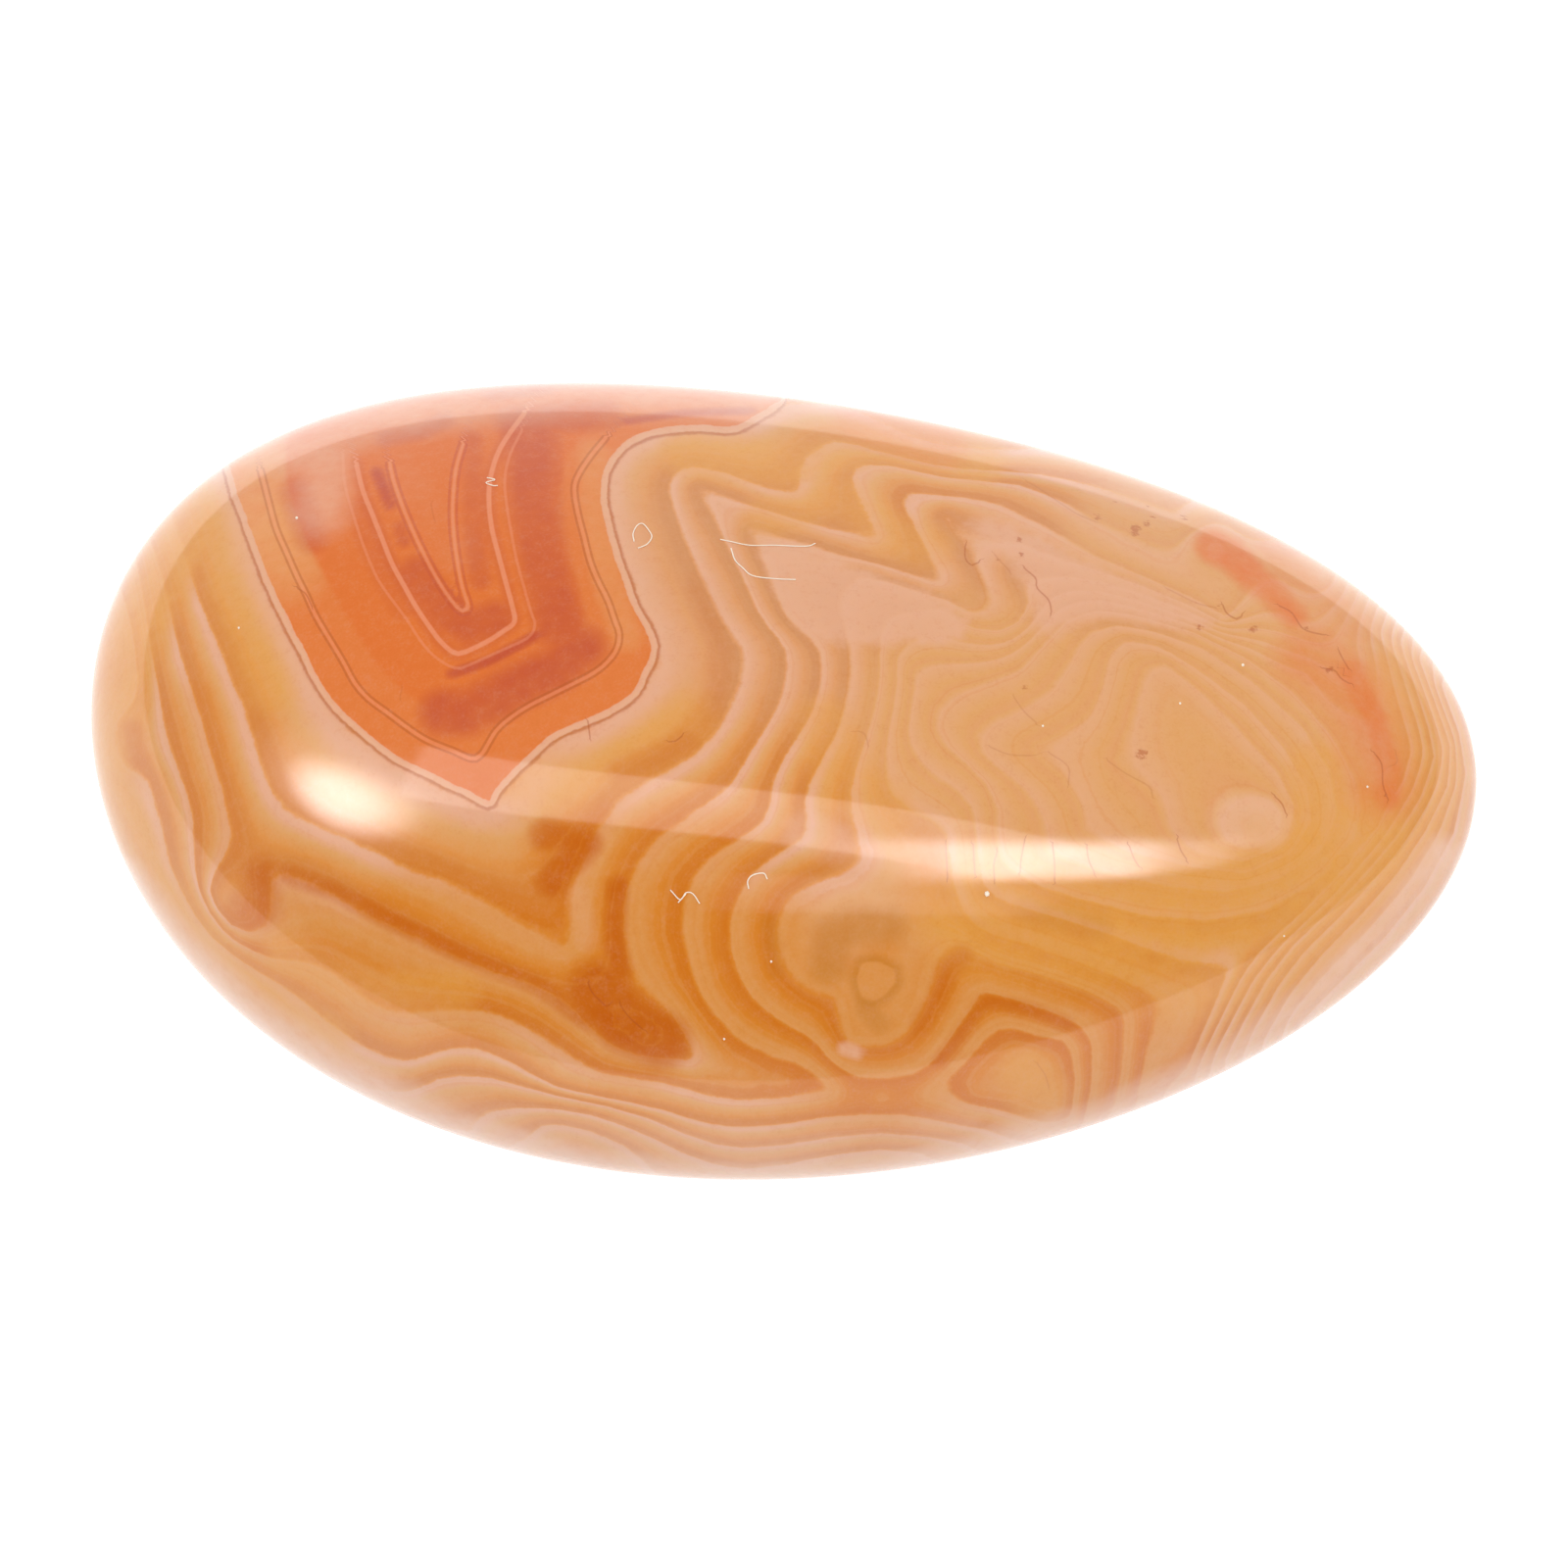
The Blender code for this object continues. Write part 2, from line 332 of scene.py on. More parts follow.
# Pale eye low in the middle
PALE_EYE = (
    (878, 982), (888, 980), (899, 981), (906, 985), (914, 989), (915, 1003), (903, 1017),
    (889, 1024), (878, 1019), (873, 1000))

# Milky patches that cut across the bands
MILKY_CORE = (
    (768, 543), (800, 552), (840, 566), (880, 580), (920, 595), (950, 604), (975, 618),
    (990, 634), (985, 650), (960, 660), (930, 655), (900, 662), (865, 657), (838, 655),
    (815, 642), (800, 622), (788, 597), (778, 572))
MILKY_PATCH = (
    (985, 535), (1005, 522), (1035, 530), (1060, 540), (1100, 562), (1140, 582),
    (1180, 598), (1220, 616), (1245, 632), (1225, 645), (1180, 640), (1130, 632),
    (1100, 640), (1070, 650), (1052, 642), (1050, 612), (1035, 590), (1020, 570),
    (1005, 560), (995, 550))

# Coloured clouds inside the stone, and painted rim light along its outline: centre line, half width,
# softness and strength
EMBER_CLOUDS = (
    (((462, 687), (500, 674), (548, 648)), 2, 7, 0.8),
    (((452, 728), (480, 727), (520, 706), (570, 682), (595, 662)), 9, 28, 0.7),
    (((540, 440), (545, 520), (556, 580), (572, 640)), 12, 26, 0.6),
    (((562, 435), (566, 540)), 5, 12, 0.4),
    (((481, 450), (484, 540), (490, 590)), 5, 14, 0.4),
    (((385, 482), (398, 514)), 2, 9, 0.8),
    (((408, 538), (412, 552)), 2, 10, 0.5),
    (((425, 585), (455, 625), (475, 640), (505, 630)), 7, 20, 0.55),
    (((366, 520), (380, 560), (410, 620)), 5, 18, 0.25),
    (((302, 502), (318, 548)), 4, 24, 0.5),
    (((636, 430), (700, 421), (765, 419)), 1, 6, 0.9),
    (((520, 430), (570, 426), (620, 424)), 6, 18, 0.55),
    (((392, 447), (430, 440), (455, 428)), 3, 12, 0.5),
    (((500, 402), (560, 396)), 2, 10, 0.5))
SUNNY_CLOUDS = (
    (((258, 470), (270, 520), (290, 570)), 10, 60, 0.95),
    (((606, 465), (606, 520), (620, 590), (640, 650)), 8, 16, 0.55),
    (((440, 470), (450, 560)), 10, 18, 0.4))
DEEP_CLOUDS = (
    (((640, 960), (760, 990), (900, 1060), (1020, 1030), (1130, 1060)), 60, 70, 1.0),
    (((420, 960), (560, 990), (640, 1040)), 45, 50, 0.9),
    (((290, 950), (400, 1000), (480, 1010)), 26, 50, 0.85),
    (((590, 880), (720, 880)), 30, 50, 0.8),
    (((200, 720), (225, 850), (262, 905)), 6, 40, 0.5),
    (((106, 790), (110, 720), (135, 640), (190, 540)), 14, 40, 0.9))
ROSY_CLOUDS = (
    (((700, 590), (770, 620), (900, 660)), 60, 90, 1.0),
    (((640, 480), (740, 540)), 20, 60, 0.3),
    (((1000, 600), (1100, 600), (1200, 640)), 40, 80, 1.0),
    (((360, 440), (600, 410)), 15, 45, 0.9))
FAINT_CLOUDS = (
    (((1000, 735), (1150, 780), (1290, 800), (1300, 720)), 95, 70, 1.0),
    (((925, 680), (950, 790)), 25, 60, 0.6),
    (((1020, 680), (1200, 700)), 40, 40, 0.8),
    (((880, 930), (860, 950)), 20, 30, 0.5),
    (((1150, 560), (1350, 640)), 40, 50, 0.8))
GOLD_CLOUDS = (
    (((1000, 930), (1150, 955), (1290, 915), (1390, 860)), 32, 60, 0.85),
    (((1200, 1000), (1300, 980)), 20, 50, 0.6),
    (((1430, 690), (1465, 790), (1430, 870), (1330, 980)), 20, 30, 0.6),
    (((1048, 1098), (1060, 1120)), 16, 30, 0.6),
    (((290, 975), (380, 1012), (470, 1012)), 8, 26, 0.6),
    (((700, 460), (800, 475), (900, 450), (1000, 470)), 10, 30, 0.75),
    (((212, 520), (235, 600), (275, 700)), 10, 34, 0.6),
    (((105, 800), (150, 905), (230, 1000), (330, 1060)), 8, 40, 0.8),
    (((112, 770), (122, 690), (152, 610), (200, 530)), 14, 36, 0.8),
    (((840, 740), (860, 800), (900, 825)), 16, 30, 0.5),
    (((530, 800), (620, 790), (700, 735)), 8, 40, 0.6),
    (((1345, 790), (1355, 860), (1300, 900)), 18, 30, 0.7),
    (((780, 530), (860, 505), (905, 545), (950, 560)), 8, 30, 0.6))
# The pale lines that hug the outline, low and along the top, paint rim light: a pale brightening of
# the thin edges. The others are pale marks.
PALE_CLOUDS_AND_RIM_LIGHT = (
    (((130, 900), (180, 962), (250, 1030), (350, 1092), (450, 1142)), 2, 34, 0.75),
    (((450, 1142), (600, 1184), (760, 1202), (900, 1192), (1010, 1168)), 2, 26, 0.7),
    (((1010, 1168), (1110, 1147), (1250, 1082), (1340, 1017), (1410, 952), (1470, 870)),
     2, 28, 0.7),
    (((470, 1150), (640, 1175), (800, 1185), (980, 1165)), 16, 36, 0.3),
    (((330, 440), (450, 412), (600, 398), (770, 406)), 4, 44, 0.5),
    (((270, 448), (330, 468), (328, 520)), 6, 44, 0.5),
    (((1260, 835), (1290, 840)), 16, 22, 0.45),
    (((400, 470), (440, 530), (465, 560)), 6, 56, 0.12),
    (((820, 850), (850, 860)), 10, 24, 0.3),
    (((590, 915), (600, 960)), 4, 20, 0.2),
    (((863, 1070), (874, 1074)), 3, 9, 0.7))
RED_CLOUDS = (
    (((1236, 556), (1256, 566), (1276, 586)), 9, 16, 0.9),
    (((1270, 580), (1300, 606), (1322, 628)), 3, 22, 0.9),
    (((1340, 670), (1376, 700), (1398, 746), (1410, 800)), 4, 60, 0.6),
    (((1376, 686), (1400, 730), (1416, 780), (1415, 812)), 4, 26, 0.85),
    (((1376, 686), (1398, 726), (1418, 780)), 2, 8, 0.3),
    (((1300, 565), (1380, 640)), 6, 34, 0.35),
    (((880, 425), (960, 450)), 8, 40, 0.45))
DARK_CLOUDS = (
    (((630, 905), (627, 960), (634, 990)), 5, 13, 0.75),
    (((608, 1010), (640, 1045), (675, 1062)), 14, 28, 0.9),
    (((556, 852), (598, 860), (570, 888), (563, 900)), 6, 20, 0.75),
    (((266, 895), (268, 925), (250, 925)), 4, 30, 0.6),
    (((136, 745), (142, 775)), 4, 14, 0.35),
    (((293, 892), (340, 908), (400, 940), (480, 977), (545, 1004), (600, 1042)), 3, 14, 0.6),
    (((712, 600), (735, 660), (728, 710), (700, 750), (660, 780), (620, 815)), 2, 24, 0.22),
    (((632, 788), (665, 775), (700, 755)), 3, 20, 0.4),
    (((940, 1045), (957, 1022), (967, 990), (982, 975)), 3, 18, 0.35),
    (((960, 1083), (985, 1050), (1004, 1022), (1050, 1030), (1088, 1046)), 2, 12, 0.5),
    (((1010, 1066), (1022, 1058), (1050, 1062), (1082, 1070)), 2, 12, 0.2))
OLIVE_CLOUDS = (
    (((846, 985), (850, 955), (870, 944), (905, 946)), 6, 28, 0.6),
    (((884, 1030), (898, 1045)), 4, 14, 0.5),
    (((785, 940), (792, 990)), 2, 14, 0.4),
    (((1050, 930), (1120, 945)), 4, 24, 0.3))

# Lint on the polish as routes in the drawing, and dust as places and sizes in pixels
LINT_FIBRES = (
    ((497, 488), (505, 490), (496, 493), (503, 496), (508, 496)),
    ((647, 553), (646, 545), (650, 537), (656, 535), (663, 543), (665, 549), (660, 556), (651, 560)),
    ((735, 551), (745, 553), (765, 557), (790, 557), (822, 558), (832, 555)),
    ((746, 560), (750, 572), (758, 580), (768, 588), (790, 591), (812, 592)),
    ((684, 908), (694, 918), (700, 911), (707, 912), (714, 922)),
    ((692, 921), (700, 912)),
    ((764, 907), (763, 899), (768, 893), (779, 891), (783, 897)))
DUST_SPECKS = (
    ((1007, 912), 3.4), ((787, 981), 1.6), ((739, 1060), 1.6), ((1064, 741), 1.6),
    ((303, 529), 2.0), ((244, 641), 1.6), ((1268, 679), 2.0), ((1204, 718), 1.6),
    ((1395, 803), 1.6), ((1310, 955), 1.4))

# Growth map: spacing of the points along a line and size of its unit, both in pixels, how much
# it may smooth the points, how close two of them may lie, and how many places it does at once
LINE_STEP = 12.0
MAP_UNIT = 100.0
MAP_SMOOTHING = 0.02
POINT_GAP = 2
BATCH = 4000

# Steps between two points of a line that is drawn as a smooth curve
CURVE_STEPS = 3
FIBRE_STEPS = 5

# Gaps to a line that differ by less than this many pixels count as equal
EQUAL_GAP = 0.001

# Full and faded radius of a blot, as shares of the drawn one
BLOT_FADE = (0.3, 1.4)

# Behind the seen side: how far a face has turned away where the layers start to wander and where
# they have wandered in full, their shift and wander in pixels, and the length of their waves
HIDDEN_TURN = (0.15, 0.95)
HIDDEN_SHIFT = (90.0, -60.0)
HIDDEN_WANDER = 70.0
HIDDEN_WAVE = 15.0 * MM

# Noises: waves to the metre, detail and, where it isn't 0.5, roughness
BREAKUP_NOISE = (300.0, 3.0)
FINE_BREAKUP_NOISE = (1500.0, 3.0)
RIPPLE_NOISE = (900.0, 3.0)
FINE_RIPPLE_NOISE = (4200.0, 2.0)
MOTTLE_NOISE = (1400.0, 4.0, 0.6)
BLOT_NOISE = (5000.0, 3.0, 0.7)
GRAIN_NOISES = ((2200.0, 3.0), (9000.0, 2.0))
SPECKLE_NOISE = (3000.0, 2.0)

# How far each noise breaks up what it acts on: clouds in shares, growth layers in shares of a
# band, the nest's rim in pixels to a band, milky edges in pixels, blots and speckles in shares
BREAKUP = 1.0
FINE_BREAKUP = 0.7
RIPPLE = 0.10
FINE_RIPPLE = 0.07
RIM_RIPPLE = 30.0
MILKY_BREAKUP = 24.0
BLOT_BREAKUP = 2.4
SPECKLE = 0.15

# A cloud's share is stretched by this much past none and full, so that its middle stays whole
CLOUD_REACH = 0.15

# Fine growth lines and flecks in the dark marks: lines to a band, and detail
GROWTH_NOISE = (7.0, 3.0)
FLECK_NOISE = (14.0, 3.0)

# Soft steps: where each starts and ends and, where it isn't from 0 to 1, its two strengths
GROWTH_PALE = (0.42, 0.75, 0.0, 0.2)
GROWTH_DARK = (0.45, 0.25, 0.0, 0.18)
EYE_HALO = (12.0, 0.0, 0.0, 0.5)
EYE_FILL = (-1.0, 3.0, 0.0, 0.9)
ZONE_EDGE = (-3.0, 5.0)
RIM_EDGE = (-1.0, 1.0)
MILKY_CORE_EDGE = (-8.0, 10.0)
MILKY_PATCH_EDGE = (-8.0, 16.0)
FLECKS = (0.5, 0.7, 0.0, 0.4)
BLOT_EDGE = (0.3, 0.7, 0.0, 0.55)
GRAIN_PALE = (0.9, 1.5, 0.0, 0.14)
GRAIN_DARK = (1.0, 0.6, 0.0, 0.12)

# Share of haze in the faint bands, strength of the milky patches, and of a blot's middle
FAINT_HAZE = 0.45
MILKINESS = 0.8
BLOT_MIDDLE = 0.7

# Lines of the nest: half width and softness in pixels, and strength. A shifted one lies beside
# the drawn line, at this many pixels from it
GROOVE_PALE = (1.6, 1.4, 0.35)
GROOVE_SHIFT = 3.2
GROOVE_DARK = (1.2, 1.2, 0.45)
FAINT_PALE = (1.4, 1.6, 0.35)
BRIGHT_SHADE = (7.0, 8.0, 0.25)
BRIGHT_PALE = (2.4, 2.0, 0.7)
INNER_PALE = (1.6, 2.0, 0.5)
INNER_SHIFT = 4.0
INNER_DARK = (1.4, 1.4, 0.5)
RIM_SHIFT = -4.6
RIM_DARK = (1.8, 3.0, 0.55)
RIM_PALE = (3.2, 1.8, 0.9)

# Cracks, with the painted shade of grooves across the long highlight, and fainter grooves: half
# width and softness, where they fade at their ends, and strengths
HAIRLINE = (0.8, 1.2)
HAIRLINE_END = (7.0, 4.0)
HAIRLINE_STRENGTHS = (("crack_and_groove_shade", 0.5), ("groove", 0.2))

# Agate: refraction, and share, colour and depth of the light that scatters under the skin
REFRACTION = 1.54
SCATTER = 0.25
SCATTER_COLOUR = (1.0, 0.5, 0.2)
SCATTER_DEPTH = 1.5 * MM
DIRT_ROUGHNESS = 0.8
FLOOR_ROUGHNESS = 0.9
WHITE = (1.0, 1.0, 1.0, 1.0)

# Dust specks: their stretch along each axis, and how far they stand out of the skin
DUST_STRETCH = (0.8, 1.0, 0.6)
DUST_RISE = 0.3

# Overhead lights: hung level at this height, and each a little above the one before it
LIGHT_HEIGHT = 500.0 * MM
LIGHT_GAP = 1.0 * MM

# Mirrored surroundings as ranges of a direction's Y, away from the camera, and its Z, upwards:
# the shade behind the camera, the fade overhead, and the glow low behind the stone
FRONT_RANGE = (0.1, -0.5)
FRONT_RISE = (0.0, 0.3)
OVERHEAD_RISE = (0.1, 0.6)
BACK_RANGE = (0.3, 0.8)
BACK_FALL = (0.6, 0.1)

# Each light: name, place of its middle, length, width and turn in degrees, then the brightness
# of the stage that it takes a share of, the share, its full core and whether its edge is round.
# Places and sizes are shares of the lights' height, cores are shares of half a size
LIGHTS = (
    ("long_panel", (-0.05, -0.33), 1.3, 0.36, -29.0, "long_panel", 1.0, 0.94, False),
    ("low_panel", (0.27, -0.98), 0.76, 0.38, 0.0, "long_panel", 0.5, 0.6, False),
    ("strip", (0.50, -0.595), 0.86, 0.46, 16.0, "strip", 0.7, 0.35, False),
    ("strip_tail", (0.72, -0.55), 1.3, 0.42, 16.0, "strip", 0.3, 0.35, False),
    ("round_light", (-1.0, -0.18), 0.95, 0.66, -25.5, "round_light", 0.8, 0.2, True),
    ("round_glow", (-1.1, -0.12), 1.5, 1.1, -25.5, "round_light", 0.2, 0.1, True))


def linear(colour):
    """Scene-linear RGBA for a colour picked in sRGB."""
    picked = np.array(colour[:3])
    light = np.where(picked <= 0.04045, picked / 12.92, ((picked + 0.055) / 1.055) ** 2.4)
    return (*light.tolist(), 1.0)


def colour_property(name, description, red, green, blue):
    return FloatVectorProperty(
        name=name, description=description, subtype="COLOR_GAMMA", size=3, min=0.0, max=1.0,
        default=(red / 255, green / 255, blue / 255))


def length_property(name, description, default):
    return FloatProperty(name=name, description=description, default=default, unit="LENGTH")


def light_property(name, description, default):
    return FloatProperty(name=name, description=description, default=default, min=0.0)


def share_property(name, description, default):
    return FloatProperty(
        name=name, description=description, default=default, min=0.0, max=1.0, subtype="FACTOR")


class AGATE_PG_stone(bpy.types.PropertyGroup):
    """Sizes, colours and polish of the stone."""
    half_length: length_property("Half length", "Half the stone's length", 28.2 * MM)
    half_width: length_property("Half width", "Half the stone's width at its middle", 18.5 * MM)
    half_height: length_property(
        "Half height", "Half the stone's height before its faces are worn", 12.2 * MM)
    foot_wear: length_property(
        "Foot wear", "How much of the lowest bulge is worn flat", 0.3 * MM)
    cells: IntProperty(
        name="Cells", description="Mesh cells along each edge of the starting cube",
        default=118, min=24, max=128)
    amber: colour_property("Amber", "Dark side of a band", 214, 133, 60)
    honey: colour_property("Honey", "Middle of a band", 224, 149, 76)
    cream: colour_property("Cream", "Pale side of a band", 229, 172, 138)
    deep_amber: colour_property("Deep amber", "Dark side of a band, low on the stone", 213, 121, 30)
    gold: colour_property("Gold", "Middle of a band, low on the stone", 219, 134, 44)
    deep_honey: colour_property("Deep honey", "Pale side of a band, low on the stone", 222, 150, 78)
    tan: colour_property("Tan", "Dark side of a band, high on the stone", 213, 146, 94)
    beige: colour_property("Beige", "Middle of a band, high on the stone", 224, 157, 104)
    rose: colour_property("Rose", "Pale side of a band, and milky patches", 230, 174, 140)
    haze: colour_property("Haze", "Faint bands at the right", 225, 164, 102)
    # Milk also paints rim light along the stone's thin edges.
    milk_and_rim_light: colour_property("Milk", "Palest clouds and the thin edges", 238, 192, 164)
    straw: colour_property("Straw", "Yellow haze over the slim end", 229, 161, 74)
    apricot: colour_property("Apricot", "Outer part of the nest where it is pale", 230, 154, 92)
    umber: colour_property("Umber", "Darkest amber marks", 200, 98, 14)
    olive: colour_property("Olive", "Greenish marks round the eye", 196, 122, 40)
    orange: colour_property("Orange", "Outer part of the nest", 226, 124, 58)
    carnelian: colour_property("Carnelian", "Inner part of the nest", 225, 116, 46)
    ember: colour_property("Ember", "Darkest red of the nest", 196, 78, 48)
    peach: colour_property("Peach", "Pale lines of the nest", 238, 152, 112)
    # Rust also paints the shade where fine grooves break the long highlight.
    rust: colour_property("Rust", "Cracks and fine dark lines", 178, 82, 34)
    polish: share_property("Polish", "Roughness of the polished skin", 0.07)


class AGATE_PG_dirt(bpy.types.PropertyGroup):
    """Sizes and colour of the lint and dust."""
    fibre_width: length_property("Fibre width", "Thickness of a lint fibre", 0.05 * MM)
    colour: colour_property("Lint", "Lint and dust", 250, 236, 214)


class AGATE_PG_stage(bpy.types.PropertyGroup):
    """Floor and lights."""
    floor_size: length_property("Floor size", "Side of the floor", 1.6)
    floor: colour_property("Floor", "Pale floor", 200, 200, 200)
    floor_glow: light_property(
        "Floor glow", "Brightening of the floor where it is seen or mirrored", 0.85)
    soft_light: light_property("Soft light", "Brightness of the even light from all sides", 1.08)
    surround: light_property(
        "Surround", "Brightness of the mirrored surroundings at the horizon", 0.55)
    overhead: share_property("Overhead", "Mirrored brightness overhead, as a share", 0.5)
    back_glow: light_property(
        "Back glow", "Mirrored brightness that is added low behind the stone", 0.2)
    front_shade: share_property(
        "Front shade", "Mirrored brightness behind the camera, as a share", 0.05)
    long_panel: light_property("Long panel", "Brightness of the long overhead panel", 2.1)
    strip: light_property("Strip", "Brightness of the strip light", 10.0)
    round_light: light_property("Round light", "Brightness of the light at the left", 14.0)


def link_mesh(name, mesh, material):
    """Object at the origin for a finished bmesh, with its material."""
    data = bpy.data.meshes.new(name)
    mesh.to_mesh(data)
    mesh.free()
    data.materials.append(material)
    piece = bpy.data.objects.new(name, data)
    bpy.context.scene.collection.objects.link(piece)
    return piece


def eye_axes():
    """Right, up and forward directions of the drawing plane's eye."""
    right = np.array([1.0, 0.0, 0.0])
    up = np.array([0.0, math.sin(EYE_ELEVATION), math.cos(EYE_ELEVATION)])
    forward = np.array([0.0, math.cos(EYE_ELEVATION), -math.sin(EYE_ELEVATION)])
    return right, up, forward


def eye_point():
    return np.array(EYE_AIM) - EYE_DISTANCE * eye_axes()[2]


def drawing_places(points):
    """Place on the drawing plane, in pixels, of each point of the skin."""
    right, up, forward = eye_axes()
    rays = points - eye_point()
    focal = DRAWING_SIZE * EYE_LENS / SENSOR
    depth = rays @ forward
    across = DRAWING_SIZE / 2 + focal * (rays @ right) / depth
    down = DRAWING_SIZE / 2 - focal * (rays @ up) / depth
    return np.column_stack([across, down])


def place_ray(place):
    """Direction from the eye through a place of the drawing plane."""
    right, up, forward = eye_axes()
    focal = DRAWING_SIZE * EYE_LENS / SENSOR
    across, down = np.array(place) - DRAWING_SIZE / 2
    return Vector(forward * focal + right * across - up * down).normalized()


def smooth_step(low, high, values):
    share = np.clip((values - low) / (high - low), 0.0, 1.0)
    return share * share * (3 - 2 * share)


def wear_face(points, face):
    """The points after one flatter face has been worn into the pebble."""
    direction, start, softness, share = face
    normal = np.array(direction) / np.linalg.norm(direction)
    bulge = softness * np.logaddexp(0.0, (points @ normal - start) / softness)
    return points - share * bulge[:, None] * normal


def pebble_points(directions, sizes):
    """Skin of the pebble for directions on a ball."""
    along = directions[:, 0]
    half_width = sizes.half_width - WIDTH_TAPER * along + WIDTH_SWELL_AT_ENDS * along ** 2
    half_height = sizes.half_height - HEIGHT_TAPER * along
    centre = CENTRE_SLANT * along + CENTRE_BOW * along ** 2
    points = np.column_stack([
        sizes.half_length * along,
        centre + half_width * directions[:, 1],
        half_height * directions[:, 2]])
    for face in (TOP_FACE, FRONT_FACE):
        points = wear_face(points, face)
    return points


def ball_directions(cube_points):
    """Even directions on a ball for points of a cube, drawn towards the seen side."""
    even = np.tan(cube_points * math.pi / 4)
    even /= np.linalg.norm(even, axis=1)[:, None]
    drawn = even - SEEN_SIDE_PULL * eye_axes()[2]
    return drawn / np.linalg.norm(drawn, axis=1)[:, None]


def wear_foot(mesh, wear):
    """Cut the lowest bulge off level and close the cut with one flat face."""
    level = min(vertex.co.z for vertex in mesh.verts) + wear
    cut = bmesh.ops.bisect_plane(
        mesh, geom=mesh.verts[:] + mesh.edges[:] + mesh.faces[:], dist=CUT_TOLERANCE,
        plane_co=(0.0, 0.0, level), plane_no=(0.0, 0.0, 1.0), clear_inner=True)
    rim_points = [item for item in cut["geom_cut"] if isinstance(item, bmesh.types.BMVert)]
    rim_edges = [item for item in cut["geom_cut"] if isinstance(item, bmesh.types.BMEdge)]
    for vertex in rim_points:
        vertex.co.z = level
    foot = bmesh.ops.contextual_create(mesh, geom=rim_edges)["faces"]
    for face in mesh.faces:
        face.smooth = face not in foot


def stand_at_origin(mesh):
    """Move the stone so that its foot is at z = 0 under the middle of its plan."""
    corners = np.array([vertex.co for vertex in mesh.verts])
    low = corners.min(axis=0)
    high = corners.max(axis=0)
    middle = (low + high) / 2
    bmesh.ops.translate(mesh, verts=mesh.verts, vec=(-middle[0], -middle[1], -low[2]))


def stone_mesh(sizes):
    """The pebble as one closed mesh of fine cells."""
    mesh = bmesh.new()
    bmesh.ops.create_cube(mesh, size=2.0)
    bmesh.ops.subdivide_edges(
        mesh, edges=mesh.edges[:], cuts=sizes.cells - 1, use_grid_fill=True)
    skin = pebble_points(ball_directions(np.array([vertex.co for vertex in mesh.verts])), sizes)
    for vertex, place in zip(mesh.verts, skin):
        vertex.co = place
    wear_foot(mesh, sizes.foot_wear)
    stand_at_origin(mesh)
    bmesh.ops.recalc_face_normals(mesh, faces=mesh.faces)
    return mesh


def points_along(line):
    """Evenly spaced points along a line of the drawing."""
    points = []
    for start, end in zip(line[:-1], line[1:]):
        start = np.array(start, float)
        end = np.array(end, float)
        steps = max(1, math.ceil(np.linalg.norm(end - start) / LINE_STEP))
        points.extend(start + (end - start) * step / steps for step in range(steps))
    points.append(np.array(line[-1], float))
    return points


def growth_heights(places):
    """Height of the growth layers at places of the drawing, spun between the drawn lines."""
    known, heights = [], []
    for height, line in GROWTH_LINES:
        points = points_along(line)
        known.extend(points)
        heights.extend([height] * len(points))
    for height, place in GROWTH_SPOTS:
        known.append(np.array(place, float))
        heights.append(height)
    known = np.array(known)
    single = np.unique(
        np.round(known / POINT_GAP).astype(int), axis=0, return_index=True)[1]
    known = known[single] / MAP_UNIT
    heights = np.array(heights, float)[single]

    count = len(known)
    system = np.zeros((count + 3, count + 3))
    system[:count, :count] = np.linalg.norm(known[:, None] - known[None], axis=2)
    system[:count, :count] -= MAP_SMOOTHING * np.eye(count)
    plane = np.column_stack([np.ones(count), known])
    system[:count, count:] = plane
    system[count:, :count] = plane.T
    weights = np.linalg.solve(system, np.concatenate([heights, np.zeros(3)]))

    spun = np.empty(len(places))
    for start in range(0, len(places), BATCH):
        part = places[start:start + BATCH] / MAP_UNIT
        reach = np.linalg.norm(part[:, None] - known[None], axis=2)
        flat = np.column_stack([np.ones(len(part)), part])
        spun[start:start + BATCH] = reach @ weights[:count] + flat @ weights[count:]
    return spun


def distance_to_line(places, line):
    """Distance in pixels from places of the drawing to a line."""
    nearest = np.full(len(places), np.inf)
    for start, end in zip(line[:-1], line[1:]):
        start = np.array(start, float)
        run = np.array(end, float) - start
        share = np.clip(((places - start) @ run) / (run @ run), 0.0, 1.0)
        gap = np.linalg.norm(places - start - share[:, None] * run, axis=1)
        nearest = np.minimum(nearest, gap)
    return nearest


def rounded(line, steps):
    """Smooth curve through the points of a line."""
    points = [np.array(place, float) for place in line]
    points = [2 * points[0] - points[1]] + points + [2 * points[-1] - points[-2]]
    curve = []
    for before, start, end, after in zip(points, points[1:], points[2:], points[3:]):
        for step in range(steps):
            t = step / steps
            curve.append(0.5 * (2 * start + (end - before) * t
                                + (2 * before - 5 * start + 4 * end - after) * t ** 2
                                + (3 * start - before - 3 * end + after) * t ** 3))
    curve.append(points[-2])
    return curve


def signed_gap(places, line):
    """Distance in pixels to a line of the drawing, positive on its left side."""
    nearest = np.full(len(places), np.inf)
    side = np.zeros(len(places))
    for start, end in zip(line[:-1], line[1:]):
        start = np.array(start, float)
        run = np.array(end, float) - start
        reach = places - start
        share = np.clip((reach @ run) / (run @ run), 0.0, 1.0)
        gap = np.linalg.norm(reach - share[:, None] * run, axis=1)
        offset = (run[1] * reach[:, 0] - run[0] * reach[:, 1]) / np.linalg.norm(run)
        closer = gap < nearest - EQUAL_GAP
        level = (np.abs(gap - nearest) <= EQUAL_GAP) & (np.abs(offset) > np.abs(side))
        side = np.where(closer | level, offset, side)
        nearest = np.where(closer, gap, nearest)
    return np.where(side < 0, -nearest, nearest)


